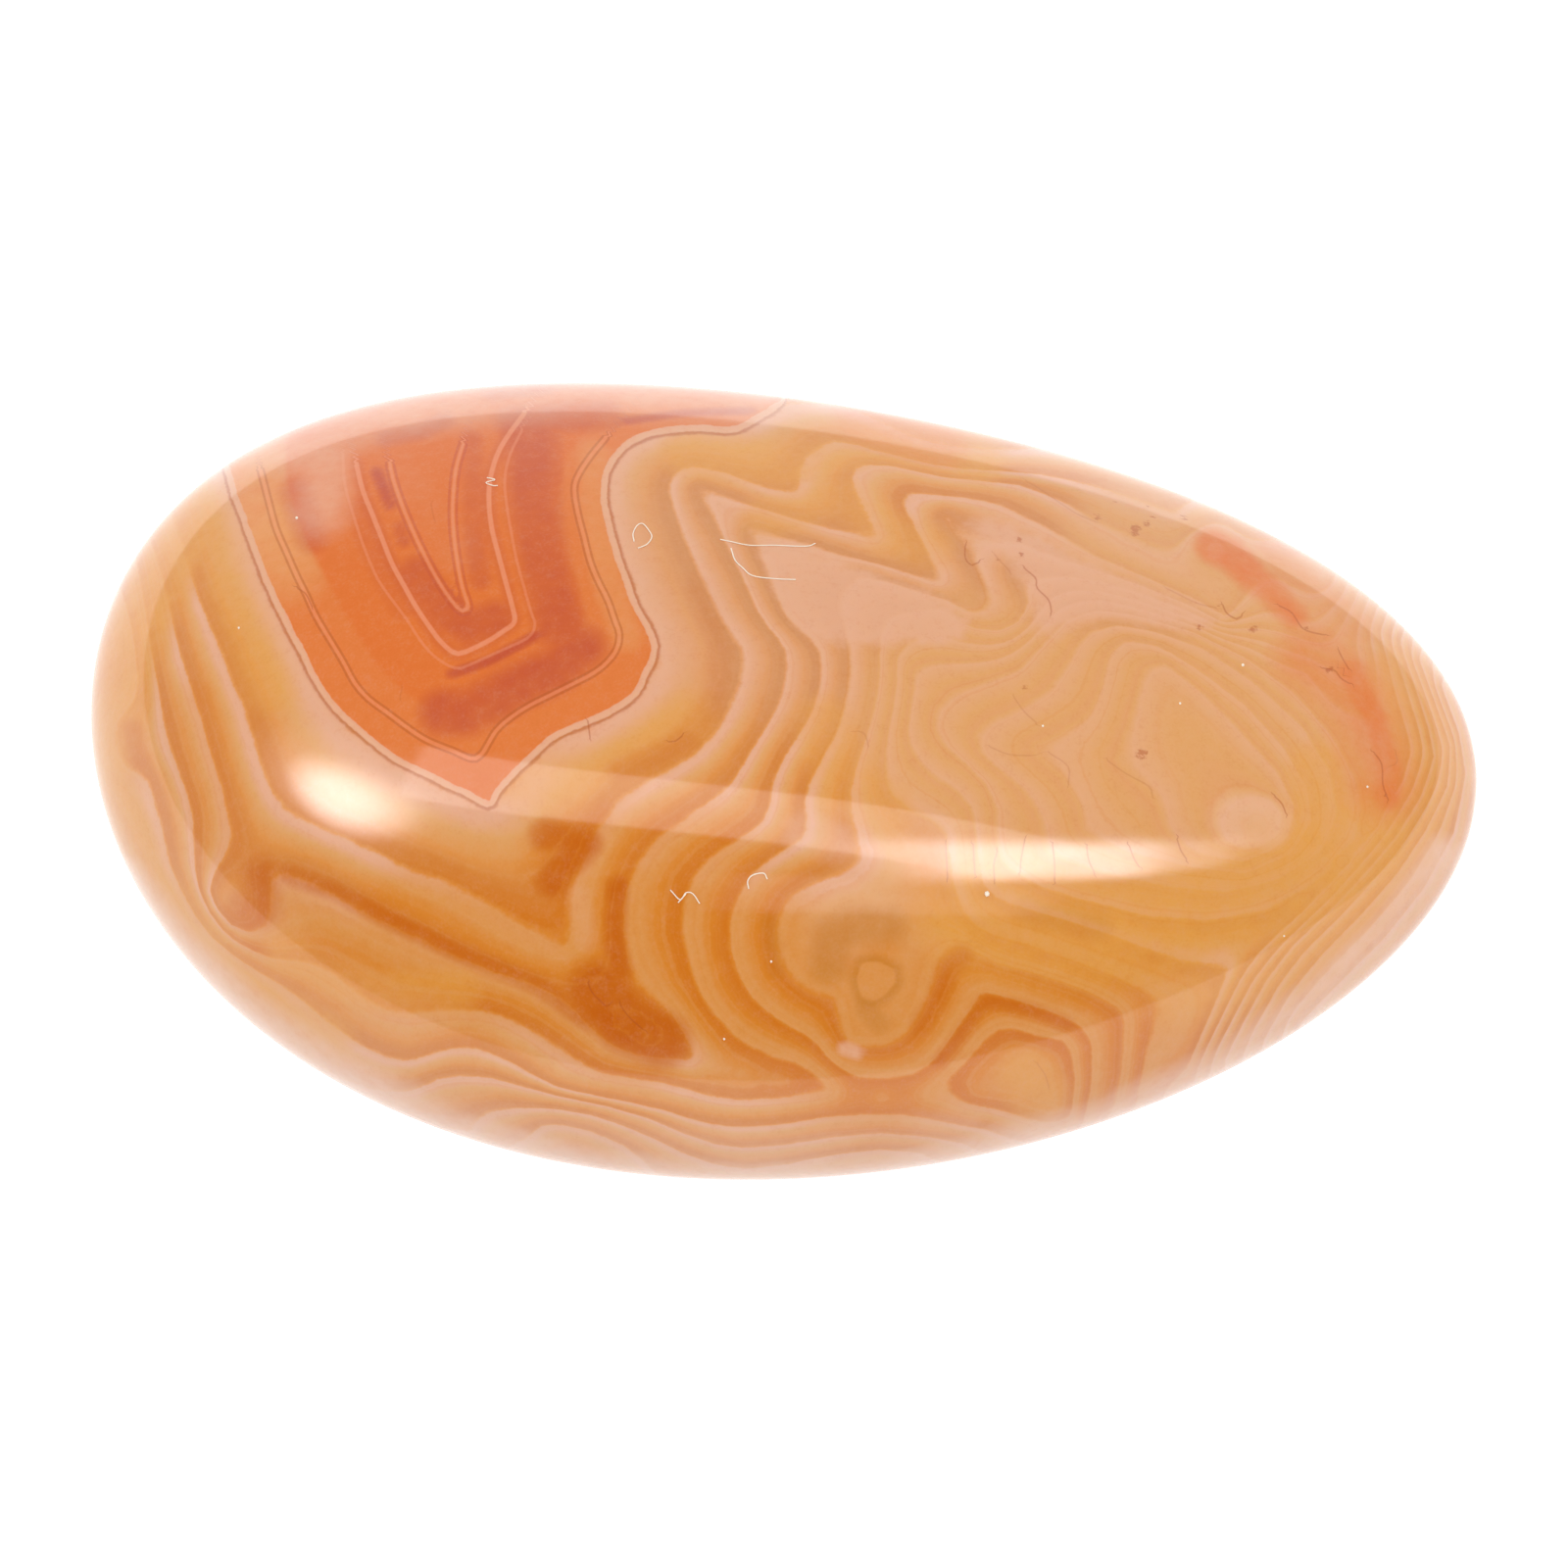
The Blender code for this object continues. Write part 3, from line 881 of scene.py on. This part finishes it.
def nearest_hairline(places, lines):
    """Signed distance in pixels to the nearest of several lines."""
    gaps = np.array([signed_gap(places, rounded(line, CURVE_STEPS)) for line in lines])
    return gaps[np.abs(gaps).argmin(axis=0), np.arange(len(places))]


def inside_outline(places, outline):
    """Whether places of the drawing lie inside a closed outline."""
    inside = np.zeros(len(places), bool)
    across, down = places[:, 0], places[:, 1]
    for start, end in zip(outline, outline[1:] + outline[:1]):
        if start[1] == end[1]:
            continue
        spans = (start[1] > down) != (end[1] > down)
        crossing = start[0] + (down - start[1]) * (end[0] - start[0]) / (end[1] - start[1])
        inside ^= spans & (across < crossing)
    return inside


def patch_depth(places, outline):
    """Distance in pixels to an outline, positive inside it."""
    gap = distance_to_line(places, outline + outline[:1])
    return np.where(inside_outline(places, outline), gap, -gap)


def cloud_share(places, clouds):
    """Strength from 0 to 1 of soft clouds along their centre lines."""
    total = np.zeros(len(places))
    for line, half_width, softness, strength in clouds:
        gap = distance_to_line(places, line)
        share = 1 - smooth_step(half_width, half_width + softness, gap)
        total = np.maximum(total, strength * share)
    return total


def blot_share(places, blots):
    """Strength from 0 to 1 of small round blots."""
    total = np.zeros(len(places))
    for middle, radius in blots:
        gap = np.linalg.norm(places - np.array(middle, float), axis=1)
        full, faded = (radius * share for share in BLOT_FADE)
        total = np.maximum(total, 1 - smooth_step(full, faded, gap))
    return total


def wander(points, normals, places):
    """Places of the drawing, displaced on the side that faces away from its eye."""
    towards_eye = eye_point() - points
    towards_eye /= np.linalg.norm(towards_eye, axis=1)[:, None]
    hidden = smooth_step(*HIDDEN_TURN, -np.sum(normals * towards_eye, axis=1))
    turns = points * (2 * math.pi / HIDDEN_WAVE)
    along, back, rise = turns.T
    wave_across = np.sin(along + 1.3 * np.sin(rise)) + np.sin(0.6 * back + 2.0)
    wave_down = np.sin(back + 1.1 * np.sin(0.8 * along)) + np.sin(0.7 * along + 1.0)
    shift = np.column_stack([
        HIDDEN_SHIFT[0] + HIDDEN_WANDER * wave_across,
        HIDDEN_SHIFT[1] + HIDDEN_WANDER * wave_down])
    return places + hidden[:, None] * shift


def store(data, name, values):
    """Keep one number for each vertex, for the material to read."""
    attribute = data.attributes.new(name, "FLOAT", "POINT")
    attribute.data.foreach_set("value", np.asarray(values, np.float32))


def store_layers(data):
    """Growth layers, patches and clouds of the stone, as vertex attributes."""
    count = len(data.vertices)
    points = np.empty(count * 3)
    data.vertices.foreach_get("co", points)
    points = points.reshape(-1, 3)
    normals = np.empty(count * 3)
    data.vertex_normals.foreach_get("vector", normals)
    normals = normals.reshape(-1, 3)
    places = wander(points, normals, drawing_places(points))
    store(data, "height", growth_heights(places))
    for name, outline in (
            ("milky_core", MILKY_CORE), ("milky_patch", MILKY_PATCH), ("eye", PALE_EYE)):
        store(data, name, patch_depth(places, outline))
    for name, line in (
            ("nest_edge", NEST_EDGE[1]), ("nest_zone", NEST_ZONE), ("nest_grooves", NEST_GROOVES),
            ("nest_faint_line", NEST_FAINT_LINE), ("nest_bright_line", NEST_BRIGHT_LINE),
            ("nest_inner_grooves", NEST_INNER_GROOVES)):
        store(data, name, signed_gap(places, rounded(line, CURVE_STEPS)))
    for name, lines in (("crack_and_groove_shade", CRACKS_AND_GROOVE_SHADE), ("groove", FAINT_GROOVES)):
        store(data, name, nearest_hairline(places, lines))
        reach = np.min([distance_to_line(places, line) for line in lines], axis=0)
        store(data, name + "_reach", reach)
    for name, clouds in (
            ("ember", EMBER_CLOUDS), ("sunny", SUNNY_CLOUDS), ("deep", DEEP_CLOUDS),
            ("rosy", ROSY_CLOUDS), ("faint", FAINT_CLOUDS), ("golden", GOLD_CLOUDS),
            ("pale", PALE_CLOUDS_AND_RIM_LIGHT), ("red", RED_CLOUDS), ("dark", DARK_CLOUDS),
            ("olive", OLIVE_CLOUDS)):
        store(data, name, cloud_share(places, clouds))
    store(data, "blot", blot_share(places, BLOTS))


class Nodes:
    """Short calls for building the nodes of a material or of the surroundings."""

    def __init__(self, owner, shader):
        owner.use_nodes = True
        self.tree = owner.node_tree
        self.shader = self.tree.nodes[shader]
        places = self.add("ShaderNodeTexCoord")
        self.object_place = places.outputs["Object"]
        self.direction = places.outputs["Generated"]
        self.position = self.add("ShaderNodeNewGeometry").outputs["Position"]
        self.patchiness = 0.0

    def add(self, kind, **settings):
        node = self.tree.nodes.new(kind)
        for key, value in settings.items():
            setattr(node, key, value)
        return node

    def plug(self, socket, value):
        """Link a socket or set a plain value."""
        if isinstance(value, bpy.types.NodeSocket):
            self.tree.links.new(value, socket)
        else:
            socket.default_value = value

    def attribute(self, name):
        return self.add("ShaderNodeAttribute", attribute_name=name).outputs["Fac"]

    def cloud(self, name, strength=1.0):
        """Share of the clouds of one name, with their edges broken up."""
        share = self.math(
            "MULTIPLY_ADD", self.attribute(name), 1.0 + CLOUD_REACH, -CLOUD_REACH / 2)
        broken = self.math("MULTIPLY_ADD", self.attribute(name), self.patchiness, share)
        return self.math("MULTIPLY", broken, strength, clamp=True)

    def near(self, distance, half_width, softness, strength=1.0):
        """Share of a line with soft edges, from the distance to its middle."""
        outer = half_width + softness / 2
        inner = half_width - softness / 2
        return self.step(self.math("ABSOLUTE", distance), outer, inner, 0.0, strength)

    def math(self, operation, *values, clamp=False):
        node = self.add("ShaderNodeMath", operation=operation, use_clamp=clamp)
        for socket, value in zip(node.inputs, values):
            self.plug(socket, value)
        return node.outputs[0]

    def step(self, value, low, high, at_low=0.0, at_high=1.0):
        """Smooth way from one number at low to another at high."""
        node = self.add("ShaderNodeMapRange", interpolation_type="SMOOTHSTEP")
        self.plug(node.inputs["Value"], value)
        self.plug(node.inputs["From Min"], low)
        self.plug(node.inputs["From Max"], high)
        self.plug(node.inputs["To Min"], at_low)
        self.plug(node.inputs["To Max"], at_high)
        return node.outputs["Result"]

    def ramp(self, value, stops):
        node = self.add("ShaderNodeValToRGB")
        points = node.color_ramp.elements
        while len(points) < len(stops):
            points.new(0.5)
        for point, (place, colour) in zip(points, stops):
            point.position = place
            point.color = colour
        self.plug(node.inputs["Fac"], value)
        return node.outputs["Color"]

    def mix(self, share, first, second):
        node = self.add("ShaderNodeMix", data_type="RGBA")
        self.plug(node.inputs["Factor"], share)
        self.plug(node.inputs["A"], first)
        self.plug(node.inputs["B"], second)
        return node.outputs["Result"]

    def noise(self, scale, detail, roughness=0.5):
        """Noise from 0 to 1 with its scale in waves to the metre."""
        node = self.add("ShaderNodeTexNoise")
        self.plug(node.inputs["Vector"], self.object_place)
        self.plug(node.inputs["Scale"], scale)
        self.plug(node.inputs["Detail"], detail)
        self.plug(node.inputs["Roughness"], roughness)
        return node.outputs["Fac"]

    def unevenness(self, amount, noise):
        """Noise spread evenly round 0, with its full range."""
        return self.math("MULTIPLY_ADD", self.noise(*noise), amount, -amount / 2)

    def line_noise(self, value, scale, detail):
        """Noise along one number, for fine growth lines."""
        node = self.add("ShaderNodeTexNoise", noise_dimensions="1D")
        self.plug(node.inputs["W"], value)
        self.plug(node.inputs["Scale"], scale)
        self.plug(node.inputs["Detail"], detail)
        return node.outputs["Fac"]

    def by_ray(self, seen, soft):
        """One strength where it is seen or mirrored, another for the soft light it gives."""
        ray = self.add("ShaderNodeLightPath").outputs["Is Diffuse Ray"]
        return self.step(ray, 0.0, 1.0, seen, soft)


def agate_material(sizes):
    """Translucent banded agate with a glassy polish."""
    material = bpy.data.materials.new("agate")
    nodes = Nodes(material, "Principled BSDF")
    amber, honey, cream = linear(sizes.amber), linear(sizes.honey), linear(sizes.cream)
    deep_amber, gold = linear(sizes.deep_amber), linear(sizes.gold)
    deep_honey = linear(sizes.deep_honey)
    tan, beige, rose = linear(sizes.tan), linear(sizes.beige), linear(sizes.rose)
    haze, umber, olive = linear(sizes.haze), linear(sizes.umber), linear(sizes.olive)
    orange, carnelian = linear(sizes.orange), linear(sizes.carnelian)
    ember, peach, rust = linear(sizes.ember), linear(sizes.peach), linear(sizes.rust)
    apricot, straw, milk_and_rim_light = linear(sizes.apricot), linear(sizes.straw), linear(sizes.milk_and_rim_light)
    nodes.patchiness = nodes.math(
        "ADD", nodes.unevenness(BREAKUP, BREAKUP_NOISE),
        nodes.unevenness(FINE_BREAKUP, FINE_BREAKUP_NOISE))

    ripple = nodes.math(
        "ADD", nodes.unevenness(RIPPLE, RIPPLE_NOISE),
        nodes.unevenness(FINE_RIPPLE, FINE_RIPPLE_NOISE))
    height = nodes.math("ADD", nodes.attribute("height"), ripple)
    band = nodes.math("FRACT", height)

    plain = nodes.ramp(band, (
        (0.0, honey), (0.05, amber), (0.22, amber), (0.42, honey), (0.66, haze),
        (0.84, cream), (0.95, cream), (1.0, honey)))
    rosy = nodes.ramp(band, (
        (0.0, beige), (0.05, tan), (0.22, tan), (0.50, beige), (0.93, rose), (1.0, beige)))
    deep = nodes.ramp(band, (
        (0.0, gold), (0.06, deep_amber), (0.16, deep_amber), (0.45, gold), (0.72, deep_honey),
        (0.94, deep_honey), (1.0, gold)))
    soft = nodes.ramp(band, (
        (0.0, haze), (0.08, beige), (0.30, haze), (0.85, rose), (1.0, haze)))
    soft = nodes.mix(FAINT_HAZE, soft, haze)
    skin = nodes.mix(nodes.attribute("rosy"), plain, rosy)
    skin = nodes.mix(nodes.attribute("deep"), skin, deep)
    skin = nodes.mix(nodes.attribute("faint"), skin, soft)
    skin = nodes.mix(nodes.cloud("golden", strength=0.75), skin, straw)
    growth = nodes.line_noise(height, *GROWTH_NOISE)
    skin = nodes.mix(nodes.step(growth, *GROWTH_PALE), skin, haze)
    skin = nodes.mix(nodes.step(growth, *GROWTH_DARK), skin, gold)

    eye = nodes.attribute("eye")
    halo = nodes.step(nodes.math("ABSOLUTE", eye), *EYE_HALO)
    skin = nodes.mix(halo, skin, olive)
    skin = nodes.mix(nodes.step(eye, *EYE_FILL), skin, deep_honey)

    wobble = nodes.math("MULTIPLY", ripple, RIM_RIPPLE)
    rim = nodes.math("ADD", nodes.attribute("nest_edge"), wobble)
    zone = nodes.math("ADD", nodes.attribute("nest_zone"), wobble)
    nest = nodes.mix(nodes.cloud("sunny", strength=0.9), orange, apricot)
    nest = nodes.mix(nodes.step(zone, *ZONE_EDGE), nest, carnelian)
    nest = nodes.mix(nodes.cloud("ember"), nest, ember)
    grooves = nodes.math("ABSOLUTE", nodes.attribute("nest_grooves"))
    beside_grooves = nodes.math("SUBTRACT", grooves, GROOVE_SHIFT)
    bright = nodes.attribute("nest_bright_line")
    inner = nodes.math("ABSOLUTE", nodes.attribute("nest_inner_grooves"))
    beside_inner = nodes.math("SUBTRACT", inner, INNER_SHIFT)
    for distance, line, colour in (
            (grooves, GROOVE_PALE, peach), (beside_grooves, GROOVE_DARK, rust),
            (nodes.attribute("nest_faint_line"), FAINT_PALE, peach),
            (bright, BRIGHT_SHADE, ember), (bright, BRIGHT_PALE, peach),
            (inner, INNER_PALE, peach), (beside_inner, INNER_DARK, ember)):
        nest = nodes.mix(nodes.near(distance, *line), nest, colour)
    skin = nodes.mix(nodes.step(rim, *RIM_EDGE), skin, nest)
    beside_rim = nodes.math("SUBTRACT", rim, RIM_SHIFT)
    skin = nodes.mix(nodes.near(beside_rim, *RIM_DARK), skin, rust)
    skin = nodes.mix(nodes.near(rim, *RIM_PALE), skin, rose)

    uneven = nodes.unevenness(MILKY_BREAKUP, MOTTLE_NOISE)
    core = nodes.math("ADD", nodes.attribute("milky_core"), uneven)
    patch = nodes.math("ADD", nodes.attribute("milky_patch"), uneven)
    milky = nodes.math(
        "MAXIMUM", nodes.step(core, *MILKY_CORE_EDGE), nodes.step(patch, *MILKY_PATCH_EDGE))
    skin = nodes.mix(nodes.math("MULTIPLY", milky, MILKINESS), skin, rose)
    # Pale clouds: pale marks, and painted rim light along the outline.
    skin = nodes.mix(nodes.cloud("pale", strength=0.85), skin, milk_and_rim_light)
    skin = nodes.mix(nodes.cloud("red", strength=0.85), skin, carnelian)
    flecks = nodes.step(nodes.line_noise(height, *FLECK_NOISE), *FLECKS)
    marks = nodes.mix(flecks, umber, deep_amber)
    skin = nodes.mix(nodes.cloud("dark", strength=0.95), skin, marks)
    skin = nodes.mix(nodes.cloud("olive", strength=0.8), skin, olive)

    # Crack lines, partly painted shade where grooves break the long highlight, and fainter grooves.
    for name, strength in HAIRLINE_STRENGTHS:
        line = nodes.math(
            "MULTIPLY", nodes.near(nodes.attribute(name), *HAIRLINE),
            nodes.step(nodes.attribute(name + "_reach"), *HAIRLINE_END, 0.0, strength))
        skin = nodes.mix(line, skin, rust)
    broken = nodes.math("ADD", BLOT_MIDDLE, nodes.unevenness(BLOT_BREAKUP, BLOT_NOISE))
    blot = nodes.math("MULTIPLY", nodes.attribute("blot"), broken, clamp=True)
    skin = nodes.mix(nodes.step(blot, *BLOT_EDGE), skin, rust)
    grain = nodes.math("ADD", *(nodes.noise(*noise) for noise in GRAIN_NOISES))
    skin = nodes.mix(nodes.step(grain, *GRAIN_PALE), skin, rose)
    skin = nodes.mix(nodes.step(grain, *GRAIN_DARK), skin, umber)

    nodes.plug(nodes.shader.inputs["Base Color"], skin)
    nodes.plug(nodes.shader.inputs["Roughness"], sizes.polish)
    nodes.shader.inputs["IOR"].default_value = REFRACTION
    nodes.shader.inputs["Subsurface Weight"].default_value = SCATTER
    nodes.shader.inputs["Subsurface Radius"].default_value = SCATTER_COLOUR
    nodes.shader.inputs["Subsurface Scale"].default_value = SCATTER_DEPTH
    return material


def plain_material(name, colour, roughness):
    """One colour with pale speckles."""
    material = bpy.data.materials.new(name)
    nodes = Nodes(material, "Principled BSDF")
    speckle = nodes.math("MULTIPLY", nodes.noise(*SPECKLE_NOISE), SPECKLE)
    nodes.plug(nodes.shader.inputs["Base Color"], nodes.mix(speckle, linear(colour), WHITE))
    nodes.shader.inputs["Roughness"].default_value = roughness
    return material


class AGATE_OT_stone(bpy.types.Operator):
    """Make the pebble with its growth layers"""
    bl_idname = "agate.stone"
    bl_label = "Stone"

    def execute(self, context):
        sizes = context.scene.agate_stone
        stone = link_mesh("stone", stone_mesh(sizes), agate_material(sizes))
        store_layers(stone.data)
        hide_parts("agate_stone")
        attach(stone, "root")
        return {"FINISHED"}


def skin_tree():
    """Search tree of the stone's skin."""
    mesh = bmesh.new()
    mesh.from_mesh(bpy.data.objects["stone"].data)
    tree = BVHTree.FromBMesh(mesh)
    mesh.free()
    return tree


def on_skin(tree, place):
    """Point and normal of the skin behind a place of the drawing."""
    point, normal, _, _ = tree.ray_cast(Vector(eye_point()), place_ray(place))
    if point is None:
        raise RuntimeError(f"no skin behind {place}")
    return point, normal


class AGATE_OT_lint(bpy.types.Operator):
    """Lay the lint fibres on the polish"""
    bl_idname = "agate.lint"
    bl_label = "Lint"

    def execute(self, context):
        sizes = context.scene.agate_dirt
        radius = sizes.fibre_width / 2
        tree = skin_tree()
        curve = bpy.data.curves.new("lint", "CURVE")
        curve.dimensions = "3D"
        curve.bevel_depth = radius
        curve.bevel_resolution = 1
        curve.use_fill_caps = True
        for fibre in LINT_FIBRES:
            route = [on_skin(tree, place) for place in rounded(fibre, FIBRE_STEPS)]
            spline = curve.splines.new("POLY")
            spline.points.add(len(route) - 1)
            for point, (place, normal) in zip(spline.points, route):
                point.co = (*(place + normal * radius), 1.0)
        rope = bpy.data.objects.new("lint", curve)
        context.scene.collection.objects.link(rope)
        data = bpy.data.meshes.new_from_object(rope.evaluated_get(context.evaluated_depsgraph_get()))
        bpy.data.objects.remove(rope)
        mesh = bmesh.new()
        mesh.from_mesh(data)
        bpy.data.meshes.remove(data)
        bmesh.ops.recalc_face_normals(mesh, faces=mesh.faces)
        lint = link_mesh("lint", mesh, plain_material("lint", sizes.colour, DIRT_ROUGHNESS))
        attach(lint, "root")
        return {"FINISHED"}


class AGATE_OT_dust(bpy.types.Operator):
    """Scatter the dust specks on the polish"""
    bl_idname = "agate.dust"
    bl_label = "Dust"

    def execute(self, context):
        sizes = context.scene.agate_dirt
        tree = skin_tree()
        pixel = SENSOR / EYE_LENS * EYE_DISTANCE / DRAWING_SIZE
        mesh = bmesh.new()
        for place, size in DUST_SPECKS:
            point, normal = on_skin(tree, place)
            radius = size * pixel
            speck = bmesh.ops.create_icosphere(mesh, subdivisions=1, radius=radius)["verts"]
            bmesh.ops.scale(mesh, verts=speck, vec=DUST_STRETCH)
            bmesh.ops.translate(mesh, verts=speck, vec=point + normal * DUST_RISE * radius)
        dust = link_mesh("dust", mesh, plain_material("dust", sizes.colour, DIRT_ROUGHNESS))
        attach(dust, "root")
        return {"FINISHED"}


def panel_reach(nodes, place, direction, half):
    """How far a place on a panel lies from its middle, as a share of half its size."""
    place_on = nodes.add("ShaderNodeVectorMath", operation="DOT_PRODUCT")
    nodes.plug(place_on.inputs[0], nodes.position)
    nodes.plug(place_on.inputs[1], direction / half)
    return nodes.math("ABSOLUTE", nodes.math(
        "SUBTRACT", place_on.outputs["Value"], place.dot(direction) / half))


def panel_light(name, middle, length, width, turn, brightness, core, round_edge):
    """Level light over the stone, full within its core and fading to its edge."""
    lift = LIGHT_GAP * len(bpy.data.lights)
    lamp = bpy.data.lights.new(name, "AREA")
    lamp.shape = "RECTANGLE"
    lamp.size = length * LIGHT_HEIGHT
    lamp.size_y = width * LIGHT_HEIGHT
    lamp.energy = math.pi * brightness * lamp.size * lamp.size_y
    place = Vector((middle[0] * LIGHT_HEIGHT, middle[1] * LIGHT_HEIGHT, LIGHT_HEIGHT + lift))
    along = Vector((math.cos(math.radians(turn)), math.sin(math.radians(turn)), 0.0))
    nodes = Nodes(lamp, "Emission")
    far_along = panel_reach(nodes, place, along, lamp.size / 2)
    far_across = panel_reach(nodes, place, Vector((-along.y, along.x, 0.0)), lamp.size_y / 2)
    if round_edge:
        reach = nodes.math("SQRT", nodes.math(
            "ADD", nodes.math("MULTIPLY", far_along, far_along),
            nodes.math("MULTIPLY", far_across, far_across)))
        share = nodes.step(reach, 1.0, core)
    else:
        share = nodes.math(
            "MULTIPLY", nodes.step(far_along, 1.0, core), nodes.step(far_across, 1.0, core))
    nodes.plug(nodes.shader.inputs["Strength"], share)
    light = bpy.data.objects.new(name, lamp)
    light.location = place
    light.rotation_euler = (0.0, 0.0, math.radians(turn))
    light.visible_diffuse = False
    bpy.context.scene.collection.objects.link(light)


class AGATE_OT_stage(bpy.types.Operator):
    """Set the pale floor, the soft lights and the camera"""
    bl_idname = "agate.stage"
    bl_label = "Stage"

    def execute(self, context):
        sizes = context.scene.agate_stage
        mesh = bmesh.new()
        bmesh.ops.create_grid(mesh, x_segments=4, y_segments=4, size=sizes.floor_size / 2)
        material = plain_material("floor", sizes.floor, FLOOR_ROUGHNESS)
        nodes = Nodes(material, "Principled BSDF")
        nodes.plug(nodes.shader.inputs["Emission Color"], WHITE)
        nodes.plug(
            nodes.shader.inputs["Emission Strength"], nodes.by_ray(sizes.floor_glow, 0.0))
        floor = link_mesh("floor", mesh, material)

        world = bpy.data.worlds.new("surround")
        nodes = Nodes(world, "Background")
        direction = nodes.add("ShaderNodeSeparateXYZ")
        nodes.plug(direction.inputs[0], nodes.direction)
        away, rise = direction.outputs["Y"], direction.outputs["Z"]
        front = nodes.math(
            "MULTIPLY", nodes.step(away, *FRONT_RANGE), nodes.step(rise, *FRONT_RISE))
        overhead = nodes.step(
            rise, *OVERHEAD_RISE, sizes.surround, sizes.overhead * sizes.surround)
        back = nodes.math(
            "MULTIPLY", nodes.step(away, *BACK_RANGE),
            nodes.step(rise, *BACK_FALL, 0.0, sizes.back_glow))
        mirrored = nodes.math(
            "MULTIPLY", nodes.math("ADD", overhead, back),
            nodes.step(front, 0.0, 1.0, 1.0, sizes.front_shade))
        nodes.plug(nodes.shader.inputs["Color"], WHITE)
        nodes.plug(nodes.shader.inputs["Strength"], nodes.by_ray(mirrored, sizes.soft_light))
        context.scene.world = world

        for name, middle, length, width, turn, source, share, core, round_edge in LIGHTS:
            brightness = share * getattr(sizes, source)
            panel_light(name, middle, length, width, turn, brightness, core, round_edge)

        lens = bpy.data.cameras.new("camera")
        lens.lens = EYE_LENS
        lens.sensor_width = SENSOR
        lens.clip_start = CLIP_START
        camera = bpy.data.objects.new("camera", lens)
        camera.location = eye_point()
        camera.rotation_euler = (math.pi / 2 - EYE_ELEVATION, 0.0, 0.0)
        context.scene.collection.objects.link(camera)
        context.scene.camera = camera
        context.scene.view_settings.view_transform = "Standard"
        return {"FINISHED"}


class AGATE_PT_sidebar(bpy.types.Panel):
    """Sizes, colours and pieces of the pebble"""
    bl_label = "Agate pebble"
    bl_idname = "AGATE_PT_sidebar"
    bl_space_type = "VIEW_3D"
    bl_region_type = "UI"
    bl_category = "Agate"

    def draw(self, context):
        for group, operators in (
                (context.scene.agate_stone, (AGATE_OT_stone,)),
                (context.scene.agate_dirt, (AGATE_OT_lint, AGATE_OT_dust)),
                (context.scene.agate_stage, (AGATE_OT_stage,))):
            column = self.layout.column()
            for name in group.bl_rna.properties.keys():
                if name not in ("rna_type", "name"):
                    column.prop(group, name)
            for operator in operators:
                column.operator(operator.bl_idname)


CLASSES = (
    AGATE_PG_stone, AGATE_PG_dirt, AGATE_PG_stage, AGATE_OT_stone, AGATE_OT_lint,
    AGATE_OT_dust, AGATE_OT_stage, AGATE_PT_sidebar)


def register():
    for item in CLASSES:
        bpy.utils.register_class(item)
    bpy.types.Scene.agate_stone = PointerProperty(type=AGATE_PG_stone)
    bpy.types.Scene.agate_dirt = PointerProperty(type=AGATE_PG_dirt)
    bpy.types.Scene.agate_stage = PointerProperty(type=AGATE_PG_stage)


def unregister():
    del bpy.types.Scene.agate_stage
    del bpy.types.Scene.agate_dirt
    del bpy.types.Scene.agate_stone
    for item in reversed(CLASSES):
        bpy.utils.unregister_class(item)


def main():
    register()
    bpy.ops.agate.stone()
    bpy.ops.agate.lint()
    bpy.ops.agate.dust()
    bpy.ops.agate.stage()


if __name__ == "__main__":
    main()
